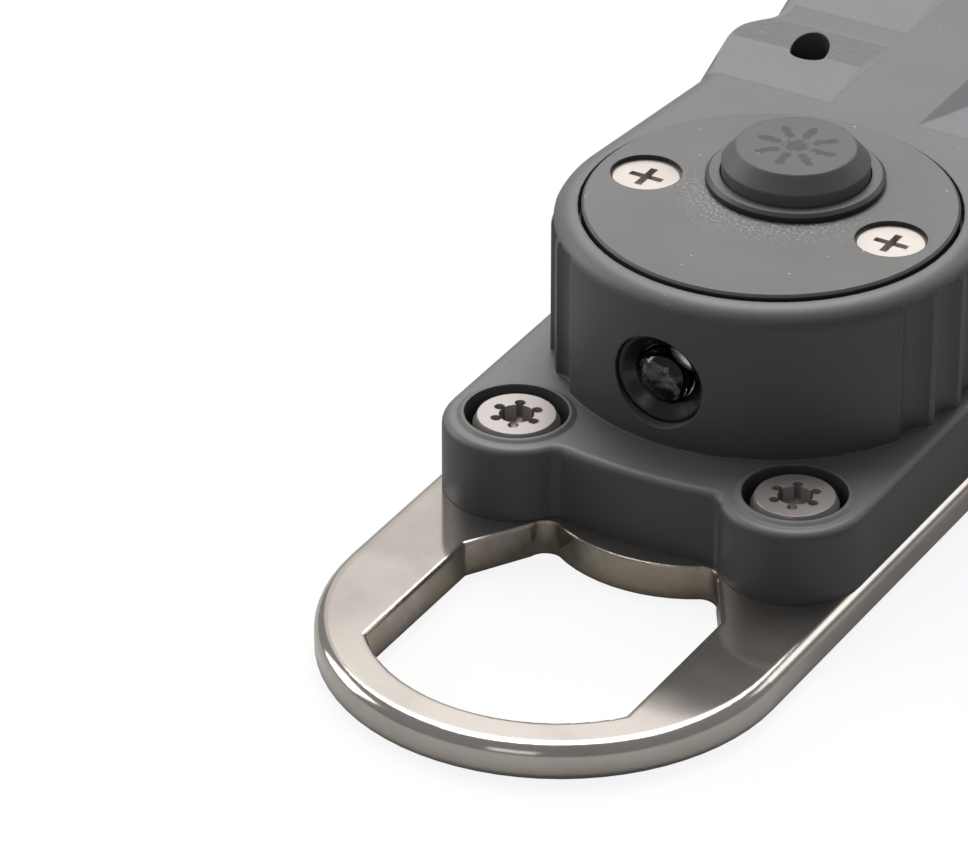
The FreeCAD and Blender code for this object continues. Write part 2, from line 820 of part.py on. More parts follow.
def star_screw(x, y):
    """M4 pan-head screw with a six-lobe recess; its head is level with the foot's top."""
    head_base = "slab_top - screw_head_height"
    head = cone("screw_head_radius", "screw_head_radius - head_edge", "head_edge_height", x, y,
                "slab_top - head_edge_height")
    drum = cylinder("screw_head_radius", "screw_head_height - head_edge_height", x, y, head_base)
    shank = cylinder("screw_radius", f"{head_base} - 0.2", x, y, "0.2")
    recess = [cylinder("star_core_radius", "star_depth + 1", x, y, "slab_top - star_depth")]
    for lobe in range(STAR_LOBES):
        angle = f"({lobe} * 360 / {STAR_LOBES} + star_turn)"
        recess.append(cylinder("star_lobe_radius", "star_depth + 1", f"{x} + star_lobe_across * cos({angle})",
                               f"{y} + star_lobe_across * sin({angle})", "slab_top - star_depth"))
    return cut(fuse(head, drum, shank), *recess)


def foot_screws(label, y):
    return node(label, group(*[star_screw(f"{sign} * screw_across", y) for sign in SIDES.values()]))


def grip_screws():
    """Small pan-head screws deep in the wells of the first and last scoops."""
    screws = []
    for sign in SIDES.values():
        for bump in WELL_BUMPS:
            x = f"{sign} * grip_screw_across"
            y = grip_screw_y(bump)
            head = cylinder("grip_well_radius - slide_gap", "grip_head_height", x, y, "plate_thick + grip_seat")
            shank = cylinder("grip_screw_radius", "plate_thick + grip_seat - slide_gap", x, y, "slide_gap")
            recess = upward("plate_thick + grip_seat + grip_head_height - grip_slot_depth", "1")
            slot = box(centred("grip_slot_half", x), centred("grip_slot_width", y), recess)
            cross = box(centred("grip_slot_width", x), centred("grip_slot_half", y), recess)
            screws.append(cut(fuse(head, shank), slot, cross))
    return node("grip_screws", group(*screws))


def cover_screws():
    """Countersunk cross-head screws, sunk a little below the cover's face."""
    screws = []
    top = "cover_top - cover_screw_sink"
    tip = "(case_top - cover_screw_length + 4 * slide_gap)"
    y = "-cover_screw_front"
    long_way = "cross_half_length"
    short_way = "cross_half_width"
    for sign in SIDES.values():
        x = f"{sign} * cover_screw_across"
        head = cone("cover_screw_radius", "cover_head_radius", "cover_head_height", x, y,
                    f"{top} - cover_head_height")
        shank = cylinder("cover_screw_radius", f"{top} - cover_head_height - {tip}", x, y, tip)
        recess = upward(f"{top} - cross_depth", "1")
        slot = box(centred(long_way, x), centred(short_way, y), recess)
        cross = box(centred(short_way, x), centred(long_way, y), recess)
        screws.append(cut(fuse(head, shank), slot, cross))
    return node("cover_screws", group(*screws))


# ---------------------------------------------------------------- tower


def battery_cover():
    """Round cover that stands just above the tower's rim, with the button's hole and two countersinks."""
    disc = cylinder("cover_radius", "cover_top - cover_edge - cover_seat", z="cover_seat")
    edge = cone("cover_radius", "cover_radius - cover_edge", "cover_edge", z="cover_top - cover_edge")
    tools = [cylinder("bezel_radius - bezel_sleeve / 2 + fit_gap / 2", "cover_top - cover_seat + 2", "0",
                      "button_back", "cover_seat - 1")]
    top = "cover_top - cover_screw_sink"
    y = "-cover_screw_front"
    for sign in SIDES.values():
        x = f"{sign} * cover_screw_across"
        tools.append(cylinder("cover_screw_radius + slide_gap", "cover_top - cover_seat + 2", x, y,
                              "cover_seat - 1"))
        tools.append(cone("cover_screw_radius + 2 * thread_gap", "cover_head_radius + 2 * thread_gap",
                          "cover_head_height", x, y, f"{top} - cover_head_height"))
        tools.append(cylinder("cover_head_radius + 1.5 * slide_gap", "1", x, y, top))
    return node("battery_cover", cut(fuse(disc, edge), *tools))


def cover_seal():
    """O-ring squeezed a little under the cover's rim, drawn flat where the cover presses it."""
    ring_shape = torus("seal_radius", "seal_thick - fit_gap / 2", z="cover_seat - seal_thick + seal_squeeze")
    above = box(centred("tower_radius"), centred("tower_radius"), ("cover_seat", "cover_seat + 3"))
    return node("cover_seal", cut(ring_shape, above))


def button_bezel():
    """Collar in the cover that guides the lamp button."""
    inner = "button_radius + slide_gap"
    rim = cylinder("bezel_radius", "bezel_rise - bezel_edge", "0", "button_back", "cover_top")
    edge = cone("bezel_radius", "bezel_radius - bezel_edge", "bezel_edge", "0", "button_back",
                "cover_top + bezel_rise - bezel_edge")
    sleeve = cylinder("bezel_radius - bezel_sleeve / 2", "cover_top - cover_seat", "0", "button_back",
                      "cover_seat")
    body = cut(fuse(rim, edge, sleeve), cylinder(inner, "case_height", "0", "button_back", "floor_top"))
    return node("button_bezel", body)


def lamp_button():
    """Push button with a broad chamfer and a flange that stops under the bezel."""
    top = "cover_top + button_rise"
    flange_top = "cover_seat - slide_gap"
    chamfer = cone("button_radius", "button_top_radius", "button_chamfer", "0", "button_back",
                   f"{top} - button_chamfer")
    stem = cylinder("button_radius", f"{top} - button_chamfer - ({flange_top})", "0", "button_back",
                    flange_top)
    flange = cylinder("button_radius + slide_gap + button_lip", "button_flange", "0", "button_back",
                      f"{flange_top} - button_flange")
    return node("lamp_button", fuse(chamfer, stem, flange))


def lamp_switch():
    """Tactile switch under the button; its plunger is a piece of its own."""
    body = box(centred("switch_half"), centred("switch_half", "button_back"),
               upward("lamp_board_top", "switch_height"))
    bore = cylinder("lamp_plunger_radius + slide_gap", "switch_height", "0", "button_back",
                    "lamp_board_top + 0.1")
    node("lamp_switch", cut(body, bore))
    rest = "lamp_board_top + 0.1 + button_travel + slide_gap"
    reach = f"cover_seat - slide_gap - button_flange - ({rest})"
    node("lamp_plunger", cylinder("lamp_plunger_radius", reach, "0", "button_back", rest))


def lamp_board():
    """Round board on two short pillars of the battery tray, notched for the cover screws."""
    disc = cylinder("lamp_board_radius", "board_thick", "0", "button_back / 3",
                    "lamp_board_top - board_thick")
    notches = [cylinder("cover_boss_radius + 2 * slide_gap", "case_height", f"{sign} * cover_screw_across",
                        "-cover_screw_front", "plate_thick") for sign in SIDES.values()]
    return node("lamp_board", cut(disc, *notches))


def lamp_led():
    """Clear 5 mm lamp pointing forward, with its two leads bent up to the board."""
    tip = "-tower_radius"
    shoulder = f"{tip} + lamp_length"
    dome = ball("lamp_radius", "lamp_across", f"{tip} + lamp_radius", "lamp_height")
    barrel = cylinder("lamp_radius", "lamp_length - lamp_radius", "lamp_across", f"{tip} + lamp_radius",
                      "lamp_height", "Y")
    collar = cylinder("lamp_radius + lamp_collar", "1", "lamp_across", shoulder, "lamp_height", "Y")
    pieces = [dome, barrel, collar]
    for sign in SIDES.values():
        across = centred("lamp_lead_half", f"lamp_across + {sign} * lamp_lead_across")
        end = f"{shoulder} + lamp_lead_run"
        pieces.append(box(across, (f"{shoulder} + 0.9", end), centred("lamp_lead_half", "lamp_height")))
        pieces.append(box(across, (f"{end} - 2 * lamp_lead_half", end),
                          ("lamp_height - lamp_lead_half", "lamp_board_top - board_thick")))
    return node("lamp_led", fuse(*pieces))


def lamp_holder():
    """Black ring between the lamp and its well."""
    start = "-tower_radius + holder_setback"
    sleeve = ring("lamp_well_radius - fit_gap / 2", "lamp_radius + fit_gap / 2", "holder_length",
                  "lamp_across", start, "lamp_height", "Y")
    funnel = cone("lamp_well_radius - fit_gap / 2 - funnel_lip", "lamp_radius + fit_gap / 2", "funnel_depth",
                  "lamp_across", start, "lamp_height", "Y")
    return node("lamp_holder", cut(sleeve, funnel))


def battery_tray():
    """Cup for the two cells, relieved round the cover's bosses, with pillars for the lamp board."""
    cup = cylinder("tray_radius", "tray_height", z="floor_top")
    back = box(centred("lead_across + 2 * lead_radius"), ("0", "tray_radius + 1"),
               ("floor_top", "lead_height + 3 * lead_radius"))
    pillars = [cylinder("pillar_radius", "lamp_board_top - board_thick - floor_top", f"{sign} * pillar_across",
                        "pillar_back", "floor_top")
               for sign in SIDES.values()]
    well = cylinder("cell_radius + cell_gap", "case_height", z="floor_top + tray_floor")
    relief = [cylinder("cover_boss_radius + slide_gap", "case_height", f"{sign} * cover_screw_across",
                       "-cover_screw_front", "plate_thick") for sign in SIDES.values()]
    return node("battery_tray", cut(fuse(cup, back, *pillars), well, *relief))


def coin_cells():
    """Two stacked coin cells: each a can with a slightly smaller cap."""
    cells = []
    for index in range(2):
        base = f"floor_top + tray_floor + contact_thick + {index} * cell_thick"
        can = cylinder("cell_radius", "cell_thick - cell_step", z=f"{base} + cell_step")
        cap = cylinder("cell_radius - 1", "cell_step + 0.1", z=base)
        cells.append(fuse(can, cap))
    return node("coin_cells", group(*cells))


def cell_contacts():
    """Spring plates below and above the cells; the upper one reaches the lamp board."""
    low = "floor_top + tray_floor"
    node("lower_contact", cylinder("cell_radius - 2", "contact_thick", z=low))
    high = f"{low} + contact_thick + 2 * cell_thick"
    strip = box(centred("contact_half_width"), centred("cell_radius - 1"), upward(high, "contact_thick"))
    leg = box(centred("contact_half_width"), upward("cell_radius - 2", "contact_thick"),
              (high, "lamp_board_top - board_thick"))
    node("upper_contact", fuse(strip, leg))


# ---------------------------------------------------------------- display head


def display():
    """Window in a raised frame, with the display panel and its two contact strips under it."""
    seat = "case_top - window_thick"
    outer = box(centred("window_half_width + bezel_border"),
                centred("window_half_length + bezel_border", "window_y"),
                (seat, "case_top + bezel_height"))
    inner = box(centred("window_half_width + fit_gap"), centred("window_half_length + fit_gap", "window_y"),
                ("ceiling", "case_top + 1"))
    node("display_bezel", cut(outer, inner))
    node("display_window", box(centred("window_half_width"), centred("window_half_length", "window_y"),
                               (seat, "case_top - 0.1")))
    node("lcd_panel", box(centred("window_half_width + lcd_border"),
                          centred("window_half_length + lcd_border", "window_y"),
                          ("lcd_top - lcd_thick", "lcd_top")))
    strips = []
    for sign in SIDES.values():
        middle = f"window_y + {sign} * (window_half_length - strip_width)"
        strips.append(box(centred("window_half_width - 1"), centred("strip_width / 2", middle),
                          ("board_top", "lcd_top - lcd_thick")))
    node("zebra_strips", group(*strips))


def main_board():
    """Board under the display, screwed up to four posts."""
    low = "board_top - main_board_thick"
    board = box(centred("post_across + board_side_border"),
                ("head_start + wall + board_front_gap", "head_end - wall - board_back_gap"), (low, "board_top"))
    holes = []
    screws = []
    for sign in SIDES.values():
        for y in post_ys():
            x = f"{sign} * post_across"
            holes.append(cylinder("post_screw_radius + slide_gap", "main_board_thick + 1", x, y,
                                  f"{low} - 0.5"))
            head = cylinder("post_radius - 3 * slide_gap", "post_head_height", x, y,
                            f"{low} - post_head_height")
            shank = cylinder("post_screw_radius", "main_board_thick + post_screw_length", x, y, low)
            screws.append(fuse(head, shank))
    node("main_board", cut(board, *holes))
    node("board_screws", group(*screws))
    chip = box(centred("chip_half"), centred("chip_half", "window_y"), upward("board_top", "chip_height"))
    small = [box(centred("0.8", f"{sign} * 8"), centred("0.5", f"window_y + {row} * 2.5"),
                 upward("board_top", "0.6")) for sign in SIDES.values() for row in (-1, 0, 1)]
    node("board_parts", group(chip, *small))


def keys():
    """Three rubber keys, each over its own switch and plunger."""
    switches = []
    flange_top = "ceiling - slide_gap"
    flange_low = f"{flange_top} - key_flange_thick"
    rest = "board_top + 0.1 + key_travel + slide_gap"
    plunger_top = "board_top + key_switch_height + key_travel + 2 * slide_gap"
    for name, sign in KEYS.items():
        x = f"{sign} * key_pitch"
        cap = cylinder("key_radius", f"case_top + key_rise - key_edge - ({flange_top})", x, "key_y", flange_top)
        crown = cone("key_radius", "key_radius - key_edge", "key_edge", x, "key_y",
                     "case_top + key_rise - key_edge")
        flange = cylinder("key_radius + key_flange", "key_flange_thick", x, "key_y", flange_low)
        stem = cylinder("key_plunger_radius + key_edge", f"{flange_low} - ({plunger_top})", x, "key_y",
                        plunger_top)
        node(f"{name}_key", fuse(cap, crown, flange, stem))
        node(f"{name}_plunger", cylinder("key_plunger_radius", f"{plunger_top} - ({rest})", x, "key_y", rest))
        body = box(centred("key_switch_half", x), centred("key_switch_half", "key_y"),
                   upward("board_top", "key_switch_height"))
        bore = cylinder("key_plunger_radius + slide_gap", "key_switch_height", x, "key_y", "board_top + 0.1")
        switches.append(cut(body, bore))
    node("key_switches", group(*switches))


# ---------------------------------------------------------------- load path


def anchor():
    """Block screwed to the plate, and the bolt that pulls the load cell against it."""
    block = box(centred("anchor_half_width"), upward("anchor_y", "anchor_thick"),
                upward("plate_thick", "anchor_rise"))
    tools = [cylinder("thread_radius + slide_gap", "anchor_thick + 2", "0", "anchor_y - 1", "rod_height", "Y")]
    screws = []
    middle = "anchor_y + anchor_thick / 2"
    for sign in SIDES.values():
        x = f"{sign} * anchor_screw_across"
        tools.append(cylinder("anchor_screw_radius + thread_gap", "anchor_screw_length + 2", x, middle,
                              "plate_thick - 1"))
        head = cone("anchor_head_radius", "anchor_screw_radius", "anchor_head_height", x, middle, "0.05")
        shank = cylinder("anchor_screw_radius", "plate_thick + anchor_screw_length", x, middle,
                         "anchor_head_height / 2")
        socket = cylinder("anchor_socket_radius", "anchor_socket_depth", x, middle, "0")
        screws.append(cut(fuse(head, shank), socket))
    node("anchor_block", cut(block, *tools))
    node("anchor_screws", group(*screws))
    head = cylinder("bolt_head_radius", "bolt_head_length", "0", "anchor_y - bolt_head_length", "rod_height",
                    "Y")
    shank = cylinder("thread_radius", "anchor_thick + washer_thick + cell_leg - 0.4", "0", "anchor_y",
                     "rod_height", "Y")
    socket = cylinder("bolt_socket_radius", "bolt_socket_depth", "0", "anchor_y - bolt_head_length",
                      "rod_height", "Y")
    node("anchor_bolt", cut(fuse(head, shank), socket))
    node("anchor_washer", ring("washer_radius", "thread_radius + slide_gap", "washer_thick", "0",
                               "anchor_y + anchor_thick", "rod_height", "Y"))


def load_cell():
    """S-shaped block: two slots from opposite sides and a binocular hole that thins its beams."""
    high = centred("cell_half_height + 1", "rod_height")
    block = box(centred("cell_half_width"), upward("cell_y", "cell_length"),
                centred("cell_half_height", "rod_height"))
    middle = "cell_y + cell_length / 2"
    tools = [
        box(("-cell_half_width - 1", "cell_half_width - cell_slot_end"),
            upward("cell_y + cell_leg", "cell_slot"), high),
        box(("cell_slot_end - cell_half_width", "cell_half_width + 1"),
            upward("cell_end - cell_leg - cell_slot", "cell_slot"), high),
        box(centred("cell_hole_across"), centred("cell_slot / 2", middle), high),
        cylinder("thread_radius + thread_gap", "cell_leg + 1", "0", "cell_y - 1", "rod_height", "Y"),
        cylinder("thread_radius + thread_gap", "cell_leg + 1", "0", "cell_end - cell_leg", "rod_height", "Y"),
    ]
    for sign in SIDES.values():
        tools.append(cylinder("cell_hole_radius", "2 * cell_half_height + 2", f"{sign} * cell_hole_across",
                              middle, "rod_height - cell_half_height - 1"))
    node("load_cell", cut(block, *tools))
    top = "rod_height + cell_half_height"
    gauges = []
    leads = []
    for sign in SIDES.values():
        y = f"{middle} + {sign} * (cell_hole_radius + 1.6)"
        gauges.append(box(centred("gauge_half_width"), centred("gauge_half_length", y),
                          upward(top, "gauge_thick")))
        for side in SIDES.values():
            leads.append(cylinder("gauge_lead_radius", f"board_top - main_board_thick - ({top} + gauge_thick)",
                                  f"{side} * gauge_lead_across", y, f"{top} + gauge_thick"))
    node("strain_gauges", group(*gauges))
    node("gauge_leads", group(*leads))


def pull_rod():
    """Rod from the load cell out through the spout, with a turned neck and a rivet head for the swivel."""
    tail = cylinder("thread_radius", "cell_leg - 0.3", "0", "cell_end - cell_leg + 0.3", "rod_height", "Y")
    stem = cylinder("rod_radius", "clevis_y - cell_end - run_gap", "0", "cell_end", "rod_height", "Y")
    neck = cylinder("neck_radius", "clevis_base + 4 * run_gap", "0", "clevis_y - 2 * run_gap", "rod_height",
                    "Y")
    rivet = cylinder("rivet_radius", "rivet_thick", "0", "clevis_y + clevis_base + run_gap", "rod_height",
                     "Y")
    return node("pull_rod", fuse(tail, stem, neck, rivet))


def rod_guides():
    """Bush that carries the rod in the spout, and the seal ring behind it."""
    start = "spout_end - bush_length"
    node("rod_bush", ring("bush_radius", "rod_radius + run_gap", "bush_length", "0", start, "rod_height",
                          "Y"))
    middle_radius = "(rod_radius + bush_radius) / 2 + run_gap / 2"
    section = "(bush_radius - rod_radius) / 2 - run_gap / 2"
    node("rod_seal", torus(middle_radius, section, "0", f"{start} - ({section}) - run_gap", "rod_height",
                           "Y"))


def swivel_clevis():
    """Forked swivel that turns on the rod's neck and carries the hook's pin."""
    gap = "(clevis_half_width - ear_thick)"
    base = box(centred("clevis_half_width"), upward("clevis_y", "clevis_base"),
               centred("clevis_half_height", "rod_height"))
    pieces = [base]
    for sign in SIDES.values():
        middle = f"{sign} * (clevis_half_width - ear_thick / 2)"
        pieces.append(box(centred("ear_thick / 2", middle), ("clevis_y", "pin_y"),
                          centred("clevis_half_height", "rod_height")))
        start = f"({sign} - 1) / 2 * ear_thick + {sign} * {gap}"
        pieces.append(cylinder("clevis_half_height", "ear_thick", start, "pin_y", "rod_height", "X"))
    tools = [
        cylinder("neck_radius + run_gap", "clevis_base + 2", "0", "clevis_y - 1", "rod_height", "Y"),
        cylinder("pin_radius + run_gap", "2 * clevis_half_width + 2", "-clevis_half_width - 1", "pin_y",
                 "rod_height", "X"),
    ]
    node("swivel_clevis", cut(fuse(*pieces), *tools))
    shaft = cylinder("pin_radius", "2 * clevis_half_width", "-clevis_half_width", "pin_y", "rod_height", "X")
    heads = [cylinder("pin_head_radius", "pin_head_thick", start, "pin_y", "rod_height", "X")
             for start in ("clevis_half_width", "-clevis_half_width - pin_head_thick")]
    node("swivel_pin", fuse(shaft, *heads))


def hook():
    """Bent wire hook: an eye on the pin, a swan neck to one side, and a round bend under the load line."""
    body = doc.addObject("PartDesign::Body", "HookWire")
    spine = sketch_in(body)
    straight = "shank_length"
    middle = "shank_length + swan_length / 2"
    shoulder = "shank_length + swan_length"
    bend = f"{shoulder} + hook_straight"
    outline(spine, [
        ("0", "eye_radius"),
        ("0", straight, "(swan_length^2 / 4 + hook_radius^2 / 4) / hook_radius"),
        ("-hook_radius / 2", middle, "-(swan_length^2 / 4 + hook_radius^2 / 4) / hook_radius"),
        ("-hook_radius", shoulder),
        ("-hook_radius", bend, "-hook_radius"),
        ("0", f"{bend} + hook_radius", "-hook_radius"),
        ("hook_radius", bend),
        ("hook_radius + tip_length / 8", f"{bend} - tip_length"),
    ], closed=False)
    section = sketch_in(body, "XZ_Plane", "-eye_radius")
    circle_in(section, "0", "0", "wire_radius")
    pipe = body.newObject("PartDesign::AdditivePipe", "Wire")
    pipe.Profile = section
    pipe.Spine = spine
    eye = torus("eye_radius", "wire_radius", along="X")
    tip = ball("wire_radius", "hook_radius + tip_length / 8", f"{bend} - tip_length", "0")
    whole = fuse(body, eye, tip)
    place(whole, "0", "pin_y", "rod_height")
    droop = FreeCAD.Rotation(V(1, 0, 0), -number("hook_droop"))
    whole.Placement = FreeCAD.Placement(whole.Placement.Base, droop)
    return node("hook", whole)


# ---------------------------------------------------------------- leads


def battery_leads():
    """Two insulated leads from the tray, along the grip and up to the main board."""
    leads = []
    rise_y = "head_start + wall + 1.5"
    for sign in SIDES.values():
        body = doc.addObject("PartDesign::Body", "Lead")
        spine = sketch_in(body, "YZ_Plane", f"{sign} * lead_across")
        outline(spine, [
            ("tray_radius + 1", "lead_height"),
            (f"{rise_y} - lead_bend", "lead_height", "lead_bend"),
            (rise_y, "lead_height + lead_bend"),
            (rise_y, "board_top - main_board_thick"),
        ], closed=False)
        section = sketch_in(body, "XZ_Plane", "-tray_radius - 1")
        circle_in(section, f"{sign} * lead_across", "lead_height", "lead_radius")
        pipe = body.newObject("PartDesign::AdditivePipe", "Wire")
        pipe.Profile = section
        pipe.Spine = spine
        leads.append(body)
    return node("battery_leads", group(*leads))


# ---------------------------------------------------------------- assembly

frame_plate()
main_housing()
foot_screws("front_screws", "-front_screw_back")
foot_screws("rear_screws", "rear_screw_y")
grip_screws()
battery_cover()
cover_seal()
cover_screws()
button_bezel()
lamp_button()
lamp_switch()
lamp_board()
lamp_led()
lamp_holder()
battery_tray()
coin_cells()
cell_contacts()
display()
main_board()
keys()
anchor()
load_cell()
pull_rod()
rod_guides()
swivel_clevis()
hook()
battery_leads()
doc.recompute()

faults = [thing.Label for thing in doc.Objects if {"Invalid", "Error"} & set(thing.State)]
faults += [thing.Label for thing in parts if thing.Shape.isNull() or not thing.Shape.isValid()]
if faults:
    raise RuntimeError("failed: " + ", ".join(faults))

os.makedirs("parts", exist_ok=True)
for thing in parts:
    thing.Shape.exportStep(os.path.join("parts", thing.Label + ".step"))
    print(f"{thing.Label}: {len(thing.Shape.Solids)} solids, {thing.Shape.Volume:.1f} cubic mm")
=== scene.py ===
import json
import math
import bmesh
import bpy
import numpy as np
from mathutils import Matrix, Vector


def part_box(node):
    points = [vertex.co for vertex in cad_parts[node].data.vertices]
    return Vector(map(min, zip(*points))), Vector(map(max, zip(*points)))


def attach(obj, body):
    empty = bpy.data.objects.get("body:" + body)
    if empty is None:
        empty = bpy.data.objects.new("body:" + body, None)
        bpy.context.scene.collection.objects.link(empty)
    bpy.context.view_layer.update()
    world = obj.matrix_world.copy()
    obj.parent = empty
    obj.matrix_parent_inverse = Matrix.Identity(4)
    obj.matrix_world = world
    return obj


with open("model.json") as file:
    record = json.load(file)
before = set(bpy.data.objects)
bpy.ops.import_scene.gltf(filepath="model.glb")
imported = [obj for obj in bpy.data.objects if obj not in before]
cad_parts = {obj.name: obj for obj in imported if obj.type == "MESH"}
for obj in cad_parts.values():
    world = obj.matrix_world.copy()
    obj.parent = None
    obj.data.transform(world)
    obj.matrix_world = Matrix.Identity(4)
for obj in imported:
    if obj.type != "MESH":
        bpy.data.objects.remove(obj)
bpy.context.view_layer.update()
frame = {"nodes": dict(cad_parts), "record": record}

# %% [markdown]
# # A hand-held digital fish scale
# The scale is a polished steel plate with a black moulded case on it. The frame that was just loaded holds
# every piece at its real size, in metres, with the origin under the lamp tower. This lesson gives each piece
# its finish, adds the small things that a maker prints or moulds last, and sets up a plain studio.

nodes = frame["nodes"]
bodies = frame["record"]["behaviour"]["bodies"]
body_of_node = {node: body for body, members in bodies.items() for node in members}
MM = 0.001

# %% [markdown]
# ## Camera
# The view looks down on the lamp end from its front right, through a long lens, so that the loop fills the
# lower left and the grip runs out of the top right corner. Azimuth and elevation are the usual turntable
# angles.

# %% Camera
AZIMUTH = math.radians(29.87)
ELEVATION = math.radians(30.79)
LOOK_AT = Vector((-21.76, -7.99, 0)) * MM
DISTANCE = 554.0 * MM
back = Vector((math.sin(AZIMUTH) * math.cos(ELEVATION), -math.cos(AZIMUTH) * math.cos(ELEVATION),
               math.sin(ELEVATION)))
camera_data = bpy.data.cameras.new("camera")
camera_data.sensor_width = 36.0
camera_data.lens = 251.9
camera_data.clip_end = 20.0
camera = bpy.data.objects.new("camera", camera_data)
camera.location = LOOK_AT + back * DISTANCE
camera.rotation_euler = (math.pi / 2 - ELEVATION, 0.0, AZIMUTH)
bpy.context.collection.objects.link(camera)
bpy.context.scene.camera = camera
bpy.context.scene.view_settings.view_transform = "Standard"
print("camera at", [round(x, 3) for x in camera.location])

# %% [markdown]
# ## Studio
# The scale lies on a pale table in a white room. A large soft lamp behind the object gives the black plastic
# its grey sheen, because a glossy top mirrors what stands beyond it at the same angle. The front stays dim,
# which keeps the upright walls nearly black. Polished steel mirrors whatever it faces: the left of the plate
# sees a low warm lamp, the ring at the front also catches a small glint above it, the right edge sees a lamp
# on the right, and the plate beside the tower sees only the dark tower.

# %% Studio helpers
def staged(obj):
    """Link an object that belongs to the studio and not to the scale."""
    bpy.context.collection.objects.link(obj)
    return obj


def panel(name, centre, across, up, material):
    """A flat card: the four corners are the centre plus or minus half of each of two edge vectors."""
    centre, across, up = (np.array(x, float) for x in (centre, across, up))
    corners = [centre - across - up, centre + across - up, centre + across + up, centre - across + up]
    mesh = bpy.data.meshes.new(name)
    mesh.from_pydata([tuple(c) for c in corners], [], [(0, 1, 2, 3)])
    mesh.materials.append(material)
    return staged(bpy.data.objects.new(name, mesh))


def lamp(name, place, aim, size, watts, colour=(1.0, 1.0, 1.0)):
    """A square area light at place that faces aim."""
    data = bpy.data.lights.new(name, "AREA")
    data.shape = "SQUARE"
    data.size = size
    data.energy = watts
    data.color = colour
    obj = bpy.data.objects.new(name, data)
    obj.location = place
    obj.rotation_euler = (Vector(aim) - Vector(place)).to_track_quat("-Z", "Y").to_euler()
    bpy.context.collection.objects.link(obj)
    return obj


finishes = {}


def plain_nodes(name):
    """A new material's node tree, emptied but for its output, noted in finishes by its plain name."""
    material = bpy.data.materials.new(name)
    finishes[name] = material
    material.use_nodes = True
    tree = material.node_tree
    tree.nodes.clear()
    out = tree.nodes.new("ShaderNodeOutputMaterial")
    return material, tree, out


# %% Table
TABLE_GLOW = 1.1
TABLE_GLOW_SHARE = 0.80
floor_material, tree, out = plain_nodes("table_white")
matt = tree.nodes.new("ShaderNodeBsdfDiffuse")
matt.inputs["Color"].default_value = (0.48, 0.475, 0.47, 1)
glow = tree.nodes.new("ShaderNodeEmission")
glow.inputs["Color"].default_value = (1, 1, 1, 1)
glow.inputs["Strength"].default_value = TABLE_GLOW
path = tree.nodes.new("ShaderNodeLightPath")
direct = tree.nodes.new("ShaderNodeMath")
direct.operation = "MULTIPLY"
direct.inputs[1].default_value = TABLE_GLOW_SHARE
mix = tree.nodes.new("ShaderNodeMixShader")
tree.links.new(path.outputs["Is Camera Ray"], direct.inputs[0])
tree.links.new(direct.outputs[0], mix.inputs["Fac"])
tree.links.new(matt.outputs[0], mix.inputs[1])
tree.links.new(glow.outputs[0], mix.inputs[2])
tree.links.new(mix.outputs[0], out.inputs["Surface"])
panel("table", (0, 0, -0.1 * MM), (4, 0, 0), (0, 4, 0), floor_material)

# %% Room and lamps
ROOM_LIGHT = 0.30
world = bpy.data.worlds.new("room")
bpy.context.scene.world = world
world.use_nodes = True
tree = world.node_tree
tree.nodes.clear()
out = tree.nodes.new("ShaderNodeOutputWorld")
seen = tree.nodes.new("ShaderNodeBackground")
seen.inputs["Color"].default_value = (1, 1, 1, 1)
ambient = tree.nodes.new("ShaderNodeBackground")
ambient.inputs["Color"].default_value = (0.95, 0.97, 1.0, 1)
ambient.inputs["Strength"].default_value = ROOM_LIGHT
path = tree.nodes.new("ShaderNodeLightPath")
mix = tree.nodes.new("ShaderNodeMixShader")
tree.links.new(path.outputs["Is Camera Ray"], mix.inputs["Fac"])
tree.links.new(ambient.outputs[0], mix.inputs[1])
tree.links.new(seen.outputs[0], mix.inputs[2])
tree.links.new(mix.outputs[0], out.inputs["Surface"])

lamp("lamp_behind", (-0.40, 0.69, 1.38), (0, 0.02, 0), 1.0, 27.0, (1.0, 0.995, 0.98))
lamp("lamp_mirror", (-0.62, 1.07, 0.70), (0, 0.02, 0), 1.0, 2.0, (1.0, 0.96, 0.92))
lamp("lamp_left", (-1.1, -0.1, 0.5), (0, 0, 0), 0.6, 5.0, (1.0, 0.97, 0.93))
lamp("lamp_glint", (-0.567, 0.923, 0.868), (0, -0.04, 0), 0.25, 0.17, (1.0, 0.99, 0.96))
lamp("lamp_right", (0.45, 1.0, 0.62), (0, 0, 0), 0.5, 1.6, (1.0, 0.99, 0.97))
lamp("lamp_front", (0.2, -1.3, 0.6), (0, 0, 0), 0.5, 0.8)
print("studio ready")

# %% [markdown]
# ## Shared surface effects
# The same effects come back on many pieces: the fine grain of moulded plastic, the wear on edges that hands
# and tackle rub, the dust that settles on upward faces, a top colour that paints light on upward faces
# (painted sheen where it is paler, painted shade where it is darker), and small pressed or sprinkled marks.
# Each is a small node group that puts out a mask or a height, so every material can use it with its own
# strength.

# %% Node group helpers
def new_group(name, inputs, outputs):
    """A shader node group: inputs are (name, kind, default) and outputs are (name, kind)."""
    group = bpy.data.node_groups.new(name, "ShaderNodeTree")
    kinds = {"float": "NodeSocketFloat", "vector": "NodeSocketVector"}
    for label, kind, default in inputs:
        socket = group.interface.new_socket(label, in_out="INPUT", socket_type=kinds[kind])
        if default is not None:
            socket.default_value = default
    for label, kind in outputs:
        group.interface.new_socket(label, in_out="OUTPUT", socket_type=kinds[kind])
    return group, group.nodes.new("NodeGroupInput"), group.nodes.new("NodeGroupOutput")


def maths(tree, operation, first, second=None, clamp=False):
    """A Math node; each operand is a socket or a plain number."""
    node = tree.nodes.new("ShaderNodeMath")
    node.operation = operation
    node.use_clamp = clamp
    for socket, value in zip(node.inputs, (first, second)):
        if value is None:
            continue
        if isinstance(value, (int, float)):
            socket.default_value = value
        else:
            tree.links.new(value, socket)
    return node.outputs[0]


